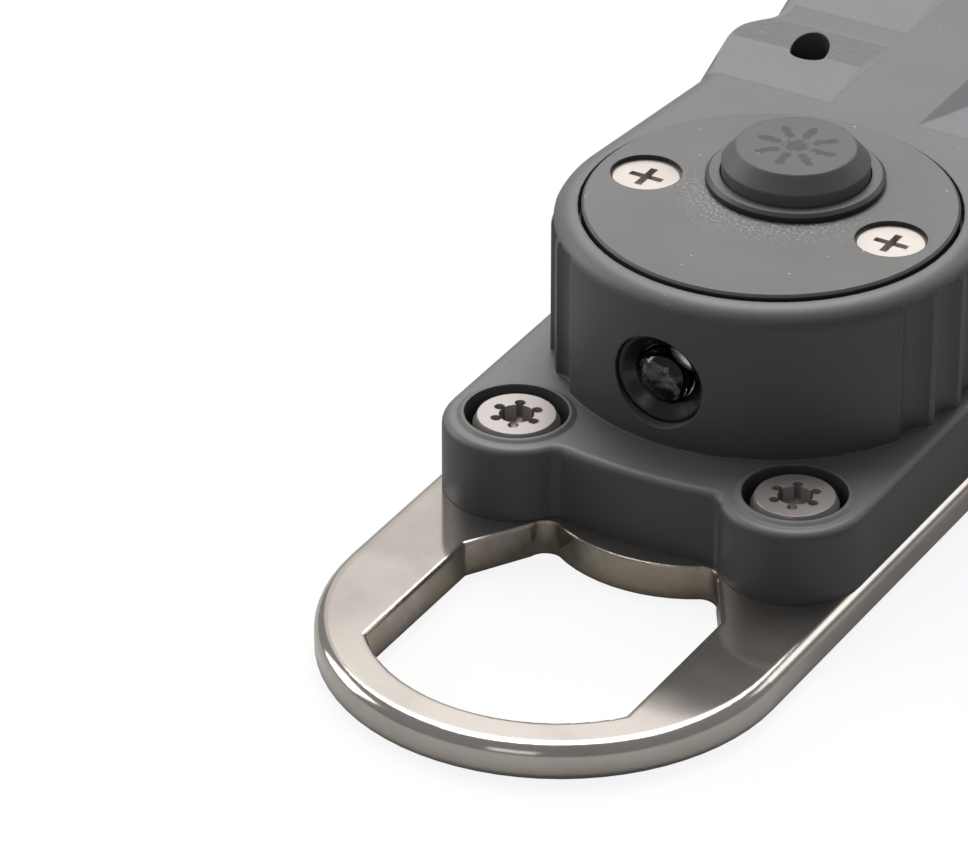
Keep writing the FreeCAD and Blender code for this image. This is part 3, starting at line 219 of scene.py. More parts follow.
def between(tree, value, low, high):
    """A smooth ramp from 0 at low to 1 at high; low may be the larger."""
    node = tree.nodes.new("ShaderNodeMapRange")
    node.interpolation_type = "SMOOTHSTEP"
    tree.links.new(value, node.inputs["Value"])
    node.inputs["From Min"].default_value = low
    node.inputs["From Max"].default_value = high
    return node.outputs["Result"]


def noise(tree, vector, scale, detail=3.0, rough=0.55):
    """A noise texture's value, in cells per metre."""
    node = tree.nodes.new("ShaderNodeTexNoise")
    node.inputs["Scale"].default_value = scale
    node.inputs["Detail"].default_value = detail
    node.inputs["Roughness"].default_value = rough
    tree.links.new(vector, node.inputs["Vector"])
    return node.outputs["Fac"]


def parts(tree, vector):
    """The X, Y and Z of a vector, by name."""
    node = tree.nodes.new("ShaderNodeSeparateXYZ")
    tree.links.new(vector, node.inputs[0])
    return node.outputs


def facing(tree):
    """The X, Y and Z of the surface's own direction."""
    return parts(tree, tree.nodes.new("ShaderNodeNewGeometry").outputs["Normal"])


def vector_maths(tree, operation, first, second):
    """A Vector Math node with two operands, each a socket or three plain numbers."""
    node = tree.nodes.new("ShaderNodeVectorMath")
    node.operation = operation
    for socket, value in zip(node.inputs, (first, second)):
        if isinstance(value, tuple):
            socket.default_value = value
        else:
            tree.links.new(value, socket)
    return node.outputs["Value"] if operation in ("DISTANCE", "DOT_PRODUCT") else node.outputs["Vector"]


def drift(tree, value, source, target):
    """Stretch a value from one pair of limits to another, as a straight ramp that stops at both ends."""
    node = tree.nodes.new("ShaderNodeMapRange")
    tree.links.new(value, node.inputs["Value"])
    for label, limit in zip(("From Min", "From Max", "To Min", "To Max"), (*source, *target)):
        node.inputs[label].default_value = limit
    return node.outputs["Result"]


# %% Grain and wear groups
grain, inside, outside = new_group(
    "moulded_grain",
    [("Vector", "vector", None), ("Scale", "float", 2500.0)],
    [("Height", "float"), ("Patches", "float")])
fine = grain.nodes.new("ShaderNodeTexNoise")
fine.inputs["Detail"].default_value = 2.0
grain.links.new(inside.outputs["Vector"], fine.inputs["Vector"])
grain.links.new(inside.outputs["Scale"], fine.inputs["Scale"])
patches = noise(grain, inside.outputs["Vector"], 90.0, 4.0)
grain.links.new(fine.outputs["Fac"], outside.inputs["Height"])
grain.links.new(patches, outside.inputs["Patches"])

wear, inside, outside = new_group(
    "edge_wear",
    [("Vector", "vector", None), ("Radius", "float", 0.0005), ("Amount", "float", 0.5)],
    [("Mask", "float")])
geometry = wear.nodes.new("ShaderNodeNewGeometry")
rounded = wear.nodes.new("ShaderNodeBevel")
rounded.samples = 4
wear.links.new(inside.outputs["Radius"], rounded.inputs["Radius"])
turned = vector_maths(wear, "DOT_PRODUCT", geometry.outputs["Normal"], rounded.outputs["Normal"])
edge = between(wear, turned, 0.995, 0.88)
broken = between(wear, noise(wear, inside.outputs["Vector"], 900.0, 5.0), 0.42, 0.62)
worn = maths(wear, "MULTIPLY", maths(wear, "MULTIPLY", edge, broken), inside.outputs["Amount"], clamp=True)
wear.links.new(worn, outside.inputs["Mask"])

# %% Dust and painted top light groups
dust, inside, outside = new_group(
    "settled_dust",
    [("Vector", "vector", None), ("Amount", "float", 0.5)],
    [("Mask", "float")])
specks = dust.nodes.new("ShaderNodeTexVoronoi")
specks.inputs["Scale"].default_value = 1500.0
dust.links.new(inside.outputs["Vector"], specks.inputs["Vector"])
spot = between(dust, specks.outputs["Distance"], 0.16, 0.05)
pick = dust.nodes.new("ShaderNodeSeparateColor")
dust.links.new(specks.outputs["Color"], pick.inputs["Color"])
kept = between(dust, pick.outputs["Red"], 0.93, 0.95)
up = between(dust, facing(dust)["Z"], 0.4, 0.9)
mask = maths(dust, "MULTIPLY", maths(dust, "MULTIPLY", spot, kept), up)
dust.links.new(maths(dust, "MULTIPLY", mask, inside.outputs["Amount"], clamp=True), outside.inputs["Mask"])

# Painted light: a mask of the upward faces, where each material paints its top colour, as painted sheen
# where it is paler and painted shade where it is darker.
top_light_paint, inside, outside = new_group(
    "painted_top_light",
    [("Vector", "vector", None), ("Amount", "float", 1.0)],
    [("Mask", "float")])
level = between(top_light_paint, facing(top_light_paint)["Z"], 0.35, 0.95)
uneven = drift(top_light_paint, noise(top_light_paint, inside.outputs["Vector"], 70.0, 5.0, 0.6), (0.3, 0.7), (0.88, 1.0))
spread = maths(top_light_paint, "MULTIPLY", level, uneven)
top_light_paint.links.new(maths(top_light_paint, "MULTIPLY", spread, inside.outputs["Amount"], clamp=True), outside.inputs["Mask"])

# %% Stroke group
stroke, inside, outside = new_group(
    "stroke_mask",
    [("Vector", "vector", None), ("Start", "vector", None), ("Along", "vector", None),
     ("Length", "float", 0.001), ("Half", "float", 0.0002)],
    [("Mask", "float")])
level = vector_maths(stroke, "MULTIPLY", inside.outputs["Vector"], (1, 1, 0))
offset = vector_maths(stroke, "SUBTRACT", level, inside.outputs["Start"])
run = vector_maths(stroke, "DOT_PRODUCT", offset, inside.outputs["Along"])
kept = maths(stroke, "MINIMUM", maths(stroke, "MAXIMUM", run, 0.0), inside.outputs["Length"])
nearest = stroke.nodes.new("ShaderNodeVectorMath")
nearest.operation = "SCALE"
stroke.links.new(inside.outputs["Along"], nearest.inputs[0])
stroke.links.new(kept, nearest.inputs["Scale"])
away = vector_maths(stroke, "DISTANCE", offset, nearest.outputs[0])
ragged = maths(stroke, "MULTIPLY", noise(stroke, inside.outputs["Vector"], 2600.0, 3.0), 2.3)
share = maths(stroke, "DIVIDE", away, maths(stroke, "MULTIPLY", inside.outputs["Half"], ragged))
stroke.links.new(between(stroke, share, 1.25, 0.85), outside.inputs["Mask"])

# %% Sprinkled ring group
sprinkle, inside, outside = new_group(
    "sprinkled_ring",
    [("Vector", "vector", None), ("Centre", "vector", None), ("Inner", "float", 0.007),
     ("Outer", "float", 0.010)],
    [("Mask", "float")])
level = vector_maths(sprinkle, "MULTIPLY", inside.outputs["Vector"], (1, 1, 0))
away = vector_maths(sprinkle, "DISTANCE", level, inside.outputs["Centre"])
left = maths(sprinkle, "SUBTRACT", inside.outputs["Outer"], away)
width = maths(sprinkle, "SUBTRACT", inside.outputs["Outer"], inside.outputs["Inner"])
reach = maths(sprinkle, "DIVIDE", left, width, clamp=True)
front = between(sprinkle, parts(sprinkle, inside.outputs["Vector"])["Y"], 0.004, -0.003)
crumbs = between(sprinkle, noise(sprinkle, inside.outputs["Vector"], 3800.0, 3.0, 0.7), 0.50, 0.62)
spread = maths(sprinkle, "MULTIPLY", maths(sprinkle, "MULTIPLY", reach, front), crumbs)
sprinkle.links.new(spread, outside.inputs["Mask"])
print("groups", [g.name for g in bpy.data.node_groups])

# %% [markdown]
# ## Materials
# A helper sets up a Principled surface with its constants directly on the sockets. Only what changes over
# the surface comes in through links: a colour mixed by a mask, a roughness that drifts, and a bump.

# %% Material helpers
DUST_PALE = (0.55, 0.54, 0.52)
INK_DARK = (0.004, 0.004, 0.004)


def surface(name, colour, rough, metallic=0.0, **constants):
    """A Principled material with its plain values, given back with its tree, shader and coordinates."""
    material, tree, out = plain_nodes(name)
    shader = tree.nodes.new("ShaderNodeBsdfPrincipled")
    shader.inputs["Base Color"].default_value = (*colour, 1)
    shader.inputs["Roughness"].default_value = rough
    shader.inputs["Metallic"].default_value = metallic
    for label, value in constants.items():
        shader.inputs[label.replace("_", " ")].default_value = value
    tree.links.new(shader.outputs[0], out.inputs["Surface"])
    place = tree.nodes.new("ShaderNodeTexCoord").outputs["Object"]
    return material, tree, shader, place


def use(tree, group, place, **values):
    """Place a shared effect in a material, with its own values."""
    node = tree.nodes.new("ShaderNodeGroup")
    node.node_tree = group
    tree.links.new(place, node.inputs["Vector"])
    for label, value in values.items():
        node.inputs[label].default_value = value
    return node


def tint(tree, shader, mask, first, second):
    """Base Color goes from first to second by a mask; each is a colour or a socket."""
    node = tree.nodes.new("ShaderNodeMix")
    node.data_type = "RGBA"
    tree.links.new(mask, node.inputs["Factor"])
    for socket, value in ((node.inputs["A"], first), (node.inputs["B"], second)):
        if isinstance(value, tuple):
            socket.default_value = (*value, 1)
        else:
            tree.links.new(value, socket)
    tree.links.new(node.outputs["Result"], shader.inputs["Base Color"])
    return node.outputs["Result"]


def relief(tree, shader, height, strength, distance=0.0001, normal=None):
    """Bump the surface by a height, on top of another normal if there is one."""
    bump = tree.nodes.new("ShaderNodeBump")
    bump.inputs["Strength"].default_value = strength
    bump.inputs["Distance"].default_value = distance
    tree.links.new(height, bump.inputs["Height"])
    if normal is not None:
        tree.links.new(normal, bump.inputs["Normal"])
    tree.links.new(bump.outputs["Normal"], shader.inputs["Normal"])


def soft_edges(tree, radius):
    """A normal that rounds every edge by a radius, as a mould or a polishing wheel does."""
    node = tree.nodes.new("ShaderNodeBevel")
    node.samples = 6
    node.inputs["Radius"].default_value = radius
    return node.outputs["Normal"]


def moulded(name, colour, worn_colour, rough, grain_scale=2600.0, grain_depth=0.12, wear_amount=0.5,
            dust_amount=0.4, edge=0.4 * MM, mark=None, mark_colour=INK_DARK, painted_top_colour=None):
    """Moulded plastic or rubber: fine grain, drifting gloss, pale rubbed edges and a little dust.

    The top colour given for the upward faces is painted light: painted sheen where it is paler than the
    colour, painted shade where it is darker. A mark is a function that takes the tree and the coordinates
    and gives a mask for the mark's colour.
    """
    _, tree, shader, place = surface(name, colour, rough)
    skin = use(tree, grain, place, Scale=grain_scale)
    rubbed = use(tree, wear, place, Radius=edge, Amount=wear_amount)
    dusty = use(tree, dust, place, Amount=dust_amount)
    base = colour
    if painted_top_colour is not None:
        # Painted light on upward faces: painted sheen where the top colour is paler, painted shade where it
        # is darker.
        base = tint(tree, shader, use(tree, top_light_paint, place).outputs["Mask"], colour, painted_top_colour)
    base = tint(tree, shader, rubbed.outputs["Mask"], base, worn_colour)
    base = tint(tree, shader, dusty.outputs["Mask"], base, DUST_PALE)
    if mark is not None:
        tint(tree, shader, mark(tree, place), base, mark_colour)
    gloss = drift(tree, skin.outputs["Patches"], (0.3, 0.7), (rough - 0.05, rough + 0.07))
    tree.links.new(gloss, shader.inputs["Roughness"])
    relief(tree, shader, skin.outputs["Height"], grain_depth, 0.05 * MM, soft_edges(tree, edge))


def metal(name, colour, rough, scratch=0.15, edge=0.2 * MM, stretch=(1, 1, 1)):
    """Bare metal: a roughness that drifts, and fine scratches stretched the way the piece was finished."""
    _, tree, shader, place = surface(name, colour, rough, 1.0)
    mapping = tree.nodes.new("ShaderNodeMapping")
    mapping.inputs["Scale"].default_value = stretch
    tree.links.new(place, mapping.inputs["Vector"])
    lines = noise(tree, mapping.outputs[0], 1800.0, 4.0, 0.6)
    smears = noise(tree, place, 120.0, 4.0)
    gloss = drift(tree, smears, (0.3, 0.75), (rough * 0.75, rough * 1.5))
    tree.links.new(gloss, shader.inputs["Roughness"])
    relief(tree, shader, lines, scratch, 0.02 * MM, soft_edges(tree, edge))
    return tree, shader, place


print("material helpers ready")

# %% [markdown]
# ## Black case
# The case is glass-filled nylon. Its tops are smooth, with a grey sheen painted into their colour, and the
# sloping
# scoops under the fingers are textured and rougher, with a paler sheen painted into theirs. One material
# does both:
# it finds the scoops by their height just under the top, their slope and their distance from the middle
# line.

# %% Case material
CASE_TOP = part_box("main_housing")[1].z
# The case's top colour and scoop colour here are painted sheen, paler than the black.
CASE_BLACK, CASE_PAINTED_SHEEN, SCOOP_PAINTED_SHEEN = (0.046, 0.047, 0.050), (0.112, 0.112, 0.110), (0.165, 0.167, 0.176)
CASE_WORN = (0.24, 0.24, 0.24)
SCOOP_DEEPEST = 1.6 * MM
SCOOP_FROM_MIDDLE = 3.9 * MM
SCOOP_START = 17.6 * MM


def scoop_mask(tree, place):
    """White on the scoops' sloping floors and black on the rest of the case."""
    spot = parts(tree, place)
    below = between(tree, spot["Z"], CASE_TOP - 0.01 * MM, CASE_TOP - 0.06 * MM)
    above = between(tree, spot["Z"], CASE_TOP - SCOOP_DEEPEST, CASE_TOP - SCOOP_DEEPEST + 0.2 * MM)
    flat = between(tree, facing(tree)["Z"], 0.70, 0.78)
    sideways = maths(tree, "ABSOLUTE", spot["X"])
    beside = between(tree, sideways, SCOOP_FROM_MIDDLE, SCOOP_FROM_MIDDLE + 0.2 * MM)
    behind = between(tree, spot["Y"], SCOOP_START, SCOOP_START + 0.3 * MM)
    mask = behind
    for limit in (below, above, flat, beside):
        mask = maths(tree, "MULTIPLY", mask, limit)
    return mask


material, tree, shader, place = surface("case_plastic", CASE_BLACK, 0.50)
scoop = scoop_mask(tree, place)
skin = use(tree, grain, place, Scale=2400.0)
rubbed = use(tree, wear, place, Radius=0.25 * MM, Amount=0.35)
dusty = use(tree, dust, place, Amount=0.35)
# Painted sheen: the upward faces are painted paler than the black, and the scoop floors paler still.
base = tint(tree, shader, use(tree, top_light_paint, place).outputs["Mask"], CASE_BLACK, CASE_PAINTED_SHEEN)
base = tint(tree, shader, scoop, base, SCOOP_PAINTED_SHEEN)
base = tint(tree, shader, rubbed.outputs["Mask"], base, CASE_WORN)
tint(tree, shader, dusty.outputs["Mask"], base, DUST_PALE)
patchy = maths(tree, "ADD", maths(tree, "MULTIPLY", skin.outputs["Patches"], 0.14), 0.42)
tree.links.new(maths(tree, "ADD", patchy, maths(tree, "MULTIPLY", scoop, 0.12)), shader.inputs["Roughness"])
coarser = maths(tree, "ADD", maths(tree, "MULTIPLY", scoop, 3.0), 1.0)
relief(tree, shader, maths(tree, "MULTIPLY", skin.outputs["Height"], coarser), 0.14, 0.06 * MM,
       soft_edges(tree, 0.22 * MM))
print(material.name, "case top in mm", round(CASE_TOP / MM, 3))

# %% [markdown]
# ## Cover, collar and button
# These are moulded too, each a little different. The cover is black, with a painted sheen on its top and its
# upright edge left black, so the gap round it reads as a dark line. The collar's top also has a painted
# sheen, and the button's top has painted shade. The button carries a plain lamp sign, and crumbs of dirt
# gather in front of its collar, where a thumb sweeps them.

# %% Button sign and crumbs
button_low, button_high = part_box("lamp_button")
BUTTON_Y = (button_low.y + button_high.y) / 2
LAMP_RAYS = 8
RAY_INNER, RAY_OUTER, RAY_HALF, DOT_HALF = 1.7 * MM, 3.1 * MM, 0.30 * MM, 0.75 * MM
CRUMBS_INNER, CRUMBS_OUTER = 7.4 * MM, 11.5 * MM


def lamp_sign(tree, place):
    """A plain lamp sign pressed into the button's top: a dot and short rays at equal turns round it."""
    middle = Vector((0, BUTTON_Y, 0))
    dot = use(tree, stroke, place, Start=middle, Along=(1, 0, 0), Length=0.01 * MM, Half=DOT_HALF)
    sign = dot.outputs["Mask"]
    for step in range(LAMP_RAYS):
        turn = 2 * math.pi * step / LAMP_RAYS
        along = Vector((math.cos(turn), math.sin(turn), 0))
        ray = use(tree, stroke, place, Start=middle + along * RAY_INNER, Along=along,
                  Length=RAY_OUTER - RAY_INNER, Half=RAY_HALF)
        sign = maths(tree, "MAXIMUM", sign, ray.outputs["Mask"])
    return sign


def cover_crumbs(tree, place):
    """Pale crumbs of dirt on the cover just in front of the button's collar."""
    middle = Vector((0, BUTTON_Y, 0))
    ring = use(tree, sprinkle, place, Centre=middle, Inner=CRUMBS_INNER, Outer=CRUMBS_OUTER)
    return maths(tree, "MULTIPLY", ring.outputs["Mask"], 0.6)


# %% Cover, collar and button materials
# Each top colour is painted light: painted sheen on the cover and the collar, painted shade on the button.
moulded("cover_plastic", (0.016, 0.016, 0.016), (0.20, 0.20, 0.20), 0.50, grain_scale=3200.0,
        grain_depth=0.10, wear_amount=0.3, dust_amount=1.0, edge=0.12 * MM, mark=cover_crumbs,
        mark_colour=(0.42, 0.41, 0.40), painted_top_colour=(0.098, 0.098, 0.096))
moulded("bezel_plastic", (0.010, 0.010, 0.010), (0.10, 0.10, 0.10), 0.42, grain_depth=0.06, wear_amount=0.3,
        dust_amount=0.3, edge=0.15 * MM, painted_top_colour=(0.07, 0.07, 0.07))
moulded("button_rubber", (0.078, 0.078, 0.080), (0.16, 0.16, 0.16), 0.50, grain_scale=2000.0,
        grain_depth=0.22, dust_amount=0.5, edge=0.25 * MM, mark=lamp_sign, painted_top_colour=(0.055, 0.055, 0.056))

# %% [markdown]
# ## Small moulded parts
# Keys, seals, trays, boards and switches need only a colour, a paler worn colour and a roughness. They share
# the same moulded finish, so a table of their colours is enough.

# %% Small moulded materials
moulded("holder_plastic", (0.006, 0.006, 0.007), (0.03, 0.03, 0.03), 0.22, grain_depth=0.02, wear_amount=0.1,
        dust_amount=0.0)
moulded("board_green", (0.012, 0.10, 0.045), (0.2, 0.3, 0.15), 0.3, grain_scale=1500.0, grain_depth=0.05)
moulded("key_rubber", (0.10, 0.10, 0.105), (0.25, 0.25, 0.25), 0.55, grain_scale=2200.0, grain_depth=0.2,
        wear_amount=0.4)
PLAIN_FINISHES = {
    "seal_rubber": ((0.010, 0.010, 0.010), (0.03, 0.03, 0.03), 0.55),
    "tray_plastic": ((0.03, 0.03, 0.03), (0.1, 0.1, 0.1), 0.5),
    "switch_plastic": ((0.02, 0.02, 0.02), (0.1, 0.1, 0.1), 0.4),
    "plunger_plastic": ((0.45, 0.05, 0.04), (0.6, 0.2, 0.18), 0.4),
    "strip_rubber": ((0.42, 0.38, 0.36), (0.5, 0.46, 0.44), 0.6),
    "chip_epoxy": ((0.012, 0.012, 0.012), (0.05, 0.05, 0.05), 0.5),
    "bush_plastic": ((0.70, 0.68, 0.62), (0.8, 0.78, 0.74), 0.35),
    "lead_rubber": ((0.35, 0.02, 0.02), (0.5, 0.1, 0.1), 0.45),
    "gauge_foil": ((0.55, 0.32, 0.08), (0.7, 0.5, 0.2), 0.35),
}
for name, (colour, worn_colour, rough) in PLAIN_FINISHES.items():
    moulded(name, colour, worn_colour, rough)
print("moulded materials", len(PLAIN_FINISHES) + 7)

# %% [markdown]
# ## Plate steel
# The plate is polished along its length, so its fine scratches are stretched that way. Years of hands leave
# warm smudges on it, and the upright wall inside the loop takes a darker, warmer steel. The wall is found by
# its distance from the loop's middle line, a straight line that ends at the centre of the round nose.

# %% Plate material
STEEL, STEEL_SMUDGED, STEEL_LOOP_WALL = (0.50, 0.465, 0.43), (0.43, 0.39, 0.36), (0.36, 0.30, 0.21)
plate_low, plate_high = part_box("frame_plate")
NOSE_CENTRE_Y = plate_low.y + plate_high.x
INNER_WALL_REACH = 16.4 * MM


def loop_wall_tone(tree, place):
    """White on the upright wall inside the loop, broken up by noise."""
    spot = parts(tree, place)
    upright = between(tree, maths(tree, "ABSOLUTE", facing(tree)["Z"]), 0.5, 0.2)
    beyond = maths(tree, "MAXIMUM", maths(tree, "SUBTRACT", NOSE_CENTRE_Y, spot["Y"]), 0.0)
    squared = maths(tree, "ADD", maths(tree, "MULTIPLY", spot["X"], spot["X"]),
                    maths(tree, "MULTIPLY", beyond, beyond))
    inner = between(tree, maths(tree, "SQRT", squared), INNER_WALL_REACH + 0.8 * MM, INNER_WALL_REACH)
    patchy = between(tree, noise(tree, place, 420.0, 6.0, 0.7), 0.25, 0.60)
    return maths(tree, "MULTIPLY", maths(tree, "MULTIPLY", upright, inner), patchy)


tree, shader, place = metal("plate_steel", STEEL, 0.11, 0.06, 0.35 * MM, (1, 0.12, 1))
shader.inputs["Metallic"].default_value = 0.9
smudge = between(tree, noise(tree, place, 95.0, 6.0, 0.65), 0.42, 0.70)
base = tint(tree, shader, smudge, STEEL, STEEL_SMUDGED)
# The upright wall inside the loop is coloured a darker, warmer steel, broken up by noise.
tint(tree, shader, maths(tree, "MULTIPLY", loop_wall_tone(tree, place), 0.75), base, STEEL_LOOP_WALL)
print("nose centre in mm", round(NOSE_CENTRE_Y / MM, 2))

# %% [markdown]
# ## Other metals
# The screws are dull, handled steel, so part of their shading is plain and not mirrored, which keeps their
# recesses from going black. The two screws in the cover get a paler steel than the rest.

# %% Other metal materials
SCREW_METALLIC = 0.45
for name, colour in (("screw_steel", (0.34, 0.31, 0.30)), ("cover_screw_steel", (0.46, 0.42, 0.39))):
    tree, shader, place = metal(name, colour, 0.36, 0.20, 0.12 * MM)
    shader.inputs["Metallic"].default_value = SCREW_METALLIC
metal("rod_steel", (0.62, 0.62, 0.61), 0.26, 0.2, stretch=(0.15, 1, 1))
metal("hook_steel", (0.68, 0.67, 0.66), 0.15, 0.1)
metal("zinc_steel", (0.55, 0.55, 0.53), 0.35, 0.2)
metal("cell_steel", (0.66, 0.66, 0.64), 0.22, 0.1)
metal("cell_alloy", (0.72, 0.73, 0.74), 0.38, 0.25, stretch=(1, 0.1, 1))
metal("contact_metal", (0.74, 0.60, 0.33), 0.3, 0.1)
metal("lead_copper", (0.80, 0.42, 0.26), 0.3, 0.1)
print("materials so far", len(finishes))

# %% [markdown]
# ## Clear pieces
# The lamp is clear epoxy, the window is clear acrylic and the display is a dull grey-green glass sandwich.
# A clear piece is a transmission of one, the right index, a faint colour and something inside to look at.

# %% Clear materials
def clear(name, colour, index, rough):
    """Clear glass or plastic with plain values and a barely uneven surface."""
    _, tree, shader, place = surface(name, colour, rough, IOR=index, Transmission_Weight=1.0)
    relief(tree, shader, noise(tree, place, 300.0), 0.02, 0.05 * MM)


def mottled(name, colour, other, rough, scale):
    """A plain surface whose colour drifts between two close ones."""
    _, tree, shader, place = surface(name, colour, rough)
    tint(tree, shader, noise(tree, place, scale), colour, other)
    return finishes[name]


clear("lamp_lens", (0.58, 0.60, 0.55), 1.52, 0.03)
clear("window_glass", (0.96, 0.98, 0.97), 1.49, 0.02)
mottled("display_glass", (0.28, 0.32, 0.26), (0.33, 0.37, 0.31), 0.28, 60.0)
print("materials", len(finishes))

# %% [markdown]
# ## Dressing the pieces
# The frame's meshes carry the true surface normals of the design, so they stay as they are. Each piece takes
# the material that the record names for it, and the cover's screws take their paler steel.

# %% Materials on the frame's pieces
special = {"cover_screws": "cover_screw_steel"}
slot_of_node = {part["node"]: part["material_slot"] for part in frame["record"]["subparts"]}


def dress(node):
    """Put a piece's material into every material slot of its object."""
    obj = nodes[node]
    finish = finishes[special.get(node, slot_of_node[node])]
    if not obj.material_slots:
        obj.data.materials.append(finish)
    for slot in obj.material_slots:
        slot.material = finish
    return len(obj.data.polygons)


print("dressed", len(nodes), "triangles", sum(dress(node) for node in nodes))

# %% [markdown]
# ## Inside the lamp
# A clear 5 mm lamp shows a bright cup with a yellow chip in it. The cup is a shallow cone of revolution, so
# it is one profile turned about the lamp's own axis.

# %% Lamp chip and cup
def revolve(name, profile, centre, along, material, body, steps=40):
    """Turn a profile of (radius, distance) pairs about an axis through centre.

    Each point is centre + distance x axis + radius x (cos a x first + sin a x second), with first and second
    at right angles to the axis, for a full turn of a.
    """
    profile = np.array(profile, float)
    axis = np.array(along, float)
    first = np.cross(axis, (0.0, 0.0, 1.0) if abs(axis[2]) < 0.9 else (1.0, 0.0, 0.0))
    first /= np.linalg.norm(first)
    second = np.cross(axis, first)
    turn = np.linspace(0, 2 * np.pi, steps, endpoint=False)
    spokes = np.cos(turn)[:, None] * first + np.sin(turn)[:, None] * second
    points = (np.array(centre) + profile[:, 1][:, None, None] * axis
              + profile[:, 0][:, None, None] * spokes[None, :, :])
    rows = len(profile)
    index = np.arange(rows * steps).reshape(rows, steps)
    quads = np.stack([index[:-1], index[1:], np.roll(index, -1, 1)[1:], np.roll(index, -1, 1)[:-1]], -1)
    mesh = bpy.data.meshes.new(name)
    mesh.from_pydata(points.reshape(-1, 3).tolist(), [], quads.reshape(-1, 4).tolist())
    work = bmesh.new()
    work.from_mesh(mesh)
    bmesh.ops.remove_doubles(work, verts=work.verts, dist=1e-7)
    bmesh.ops.recalc_face_normals(work, faces=work.faces)
    work.to_mesh(mesh)
    work.free()
    mesh.shade_smooth()
    mesh.set_sharp_from_angle(angle=math.radians(35))
    mesh.materials.append(material)
    obj = bpy.data.objects.new(name, mesh)
    bpy.context.collection.objects.link(obj)
    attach(obj, body)
    return obj


lamp_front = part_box("lamp_led")[0].y
well_low, well_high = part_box("lamp_holder")
lamp_axis = ((well_low.x + well_high.x) / 2, lamp_front, (well_low.z + well_high.z) / 2)
metal("cup_metal", (0.75, 0.76, 0.78), 0.2, 0.05)
chip_yellow = mottled("chip_yellow", (0.75, 0.6, 0.12), (0.6, 0.45, 0.08), 0.5, 800.0)
CUP_PROFILE = np.array([(0.0, 5.2), (0.5, 5.2), (1.1, 4.4), (1.25, 4.4), (1.25, 6.2), (0.0, 6.2)]) * MM
CHIP_PROFILE = np.array([(0.0, 5.0), (0.4, 5.0), (0.4, 5.15), (0.0, 5.15)]) * MM
cup = revolve("lamp_cup", CUP_PROFILE, lamp_axis, (0, 1, 0), finishes["cup_metal"], "case")
revolve("lamp_chip", CHIP_PROFILE, lamp_axis, (0, 1, 0), chip_yellow, "case", 16)
print("lamp cup faces", len(cup.data.polygons))

# %% [markdown]
# ## Printed marks
# The display shows a plain zero reading and each key has a simple symbol: a ring with a bar for power, two
# triangles for the unit, two bars for hold. The scale is read hanging from its loop, so the top of every
# mark points to the loop. Each mark is a flat outline lifted into a very thin prism.

# %% Marks
def prism(name, outlines, low, high, material, body):
    """Thin closed prisms: each outline's points are laid at height low and again at height high."""
    vertices = []
    faces = []
    for outline in outlines:
        outline = np.array(outline, float)
        following = np.roll(outline, -1, 0)
        area = np.sum(outline[:, 0] * following[:, 1] - following[:, 0] * outline[:, 1])
        if area < 0:
            outline = outline[::-1]
        count = len(outline)
        first = len(vertices)
        for height in (low, high):
            vertices.extend([(x, y, height) for x, y in outline])
        faces.append([first + i for i in reversed(range(count))])
        faces.append([first + count + i for i in range(count)])
        for i in range(count):
            j = (i + 1) % count
            faces.append([first + i, first + j, first + count + j, first + count + i])
    mesh = bpy.data.meshes.new(name)
    mesh.from_pydata(vertices, [], faces)
    mesh.materials.append(material)
    obj = bpy.data.objects.new(name, mesh)
    bpy.context.collection.objects.link(obj)
    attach(obj, body)
    return obj


def bar(start, end, half):
    """A six-cornered bar from start to end, pointed at both ends."""
    start, end = np.array(start, float), np.array(end, float)
    along = (end - start) / np.linalg.norm(end - start)
    side = np.array([-along[1], along[0]]) * half
    tip = along * half
    return [start, start + tip + side, end - tip + side, end, end - tip - side, start + tip - side]


def placed(outlines, centre, scale=MM):
    """Outlines drawn with x right and y up, turned for a reader who hangs the scale by its loop."""
    centre = np.array(centre)
    return [[centre - scale * np.array(point) for point in outline] for outline in outlines]


ink_black = mottled("ink_black", (0.012, 0.014, 0.012), (0.02, 0.022, 0.02), 0.5, 400.0)
ink_pale = mottled("ink_pale", (0.66, 0.66, 0.64), (0.45, 0.45, 0.44), 0.55, 700.0)
INK_THICK = 0.02 * MM

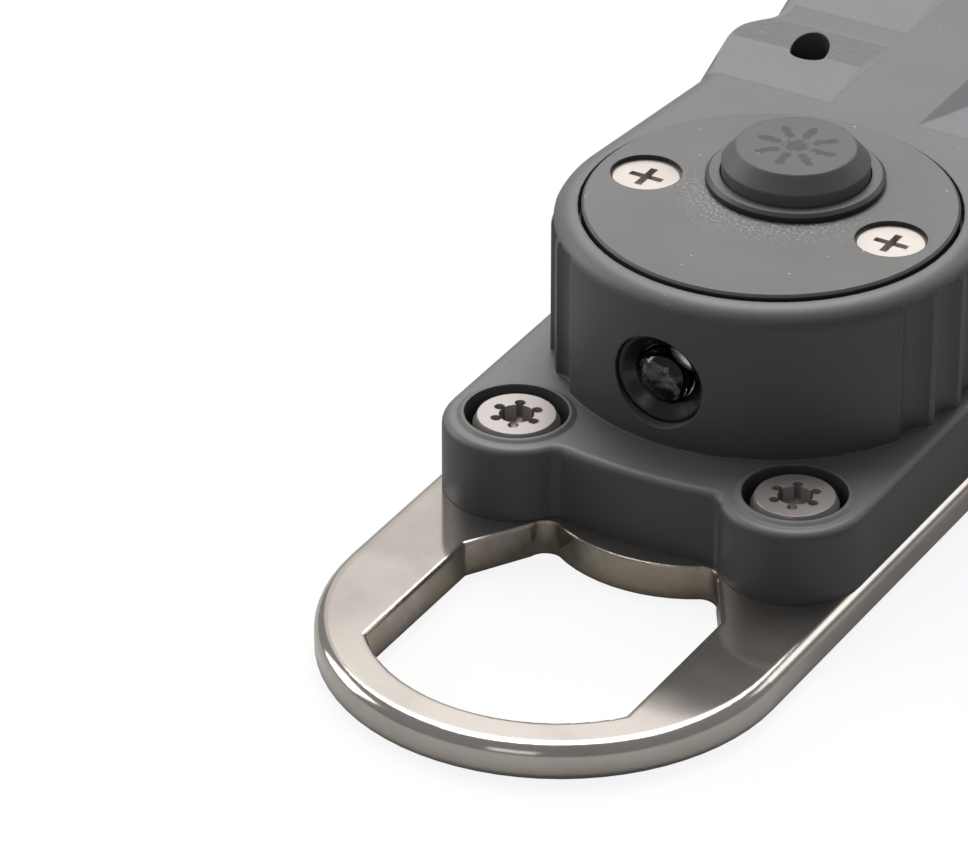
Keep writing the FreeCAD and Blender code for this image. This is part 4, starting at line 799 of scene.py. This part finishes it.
# %% Display reading
DIGIT_WIDE, DIGIT_TALL, STROKE_HALF, SEGMENT_GAP = 4.2, 8.4, 0.42, 0.12
DIGIT_PLACES = (-6.6, 0.4, 6.6)
corners = [np.array([x * DIGIT_WIDE / 2, y * DIGIT_TALL / 2])
           for x, y in ((-1, 1), (1, 1), (1, 0), (1, -1), (-1, -1), (-1, 0), (-1, 1))]
zero = []
for start, end in zip(corners, corners[1:]):
    gap = (end - start) / np.linalg.norm(end - start) * SEGMENT_GAP
    zero.append(bar(start + gap, end - gap, STROKE_HALF))
reading = [[np.array(point) + (shift, 0) for point in shape] for shift in DIGIT_PLACES for shape in zero]
reading.append([(-3.4, -4.5), (-2.7, -4.5), (-2.7, -3.8), (-3.4, -3.8)])
window_low, window_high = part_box("display_window")
window_centre = ((window_low.x + window_high.x) / 2, (window_low.y + window_high.y) / 2)
panel_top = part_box("lcd_panel")[1].z
prism("display_digits", placed(reading, window_centre), panel_top, panel_top + INK_THICK, ink_black, "case")
print("segments", len(reading))

# %% Key symbols
ARC_OUTER, ARC_INNER = 1.5, 1.1
turn = np.radians(np.linspace(125, 415, 30))
arc = [(ARC_OUTER * math.cos(a), ARC_OUTER * math.sin(a)) for a in turn]
arc += [(ARC_INNER * math.cos(a), ARC_INNER * math.sin(a)) for a in turn[::-1]]
symbols = {
    "power_key": [arc, [(-0.2, 0.5), (0.2, 0.5), (0.2, 1.9), (-0.2, 1.9)]],
    "unit_key": [[(-1.3, 0.25), (1.3, 0.25), (0.0, 1.7)], [(-1.3, -0.25), (0.0, -1.7), (1.3, -0.25)]],
    "hold_key": [[(-1.0, -1.3), (-0.35, -1.3), (-0.35, 1.3), (-1.0, 1.3)],
                 [(0.35, -1.3), (1.0, -1.3), (1.0, 1.3), (0.35, 1.3)]],
}
for key, outlines in symbols.items():
    key_low, key_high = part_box(key)
    centre = ((key_low.x + key_high.x) / 2, (key_low.y + key_high.y) / 2)
    prism(f"{key}_symbol", placed(outlines, centre), key_high.z, key_high.z + INK_THICK, ink_pale,
          body_of_node[key])
print("key marks", sum(len(outlines) for outlines in symbols.values()))
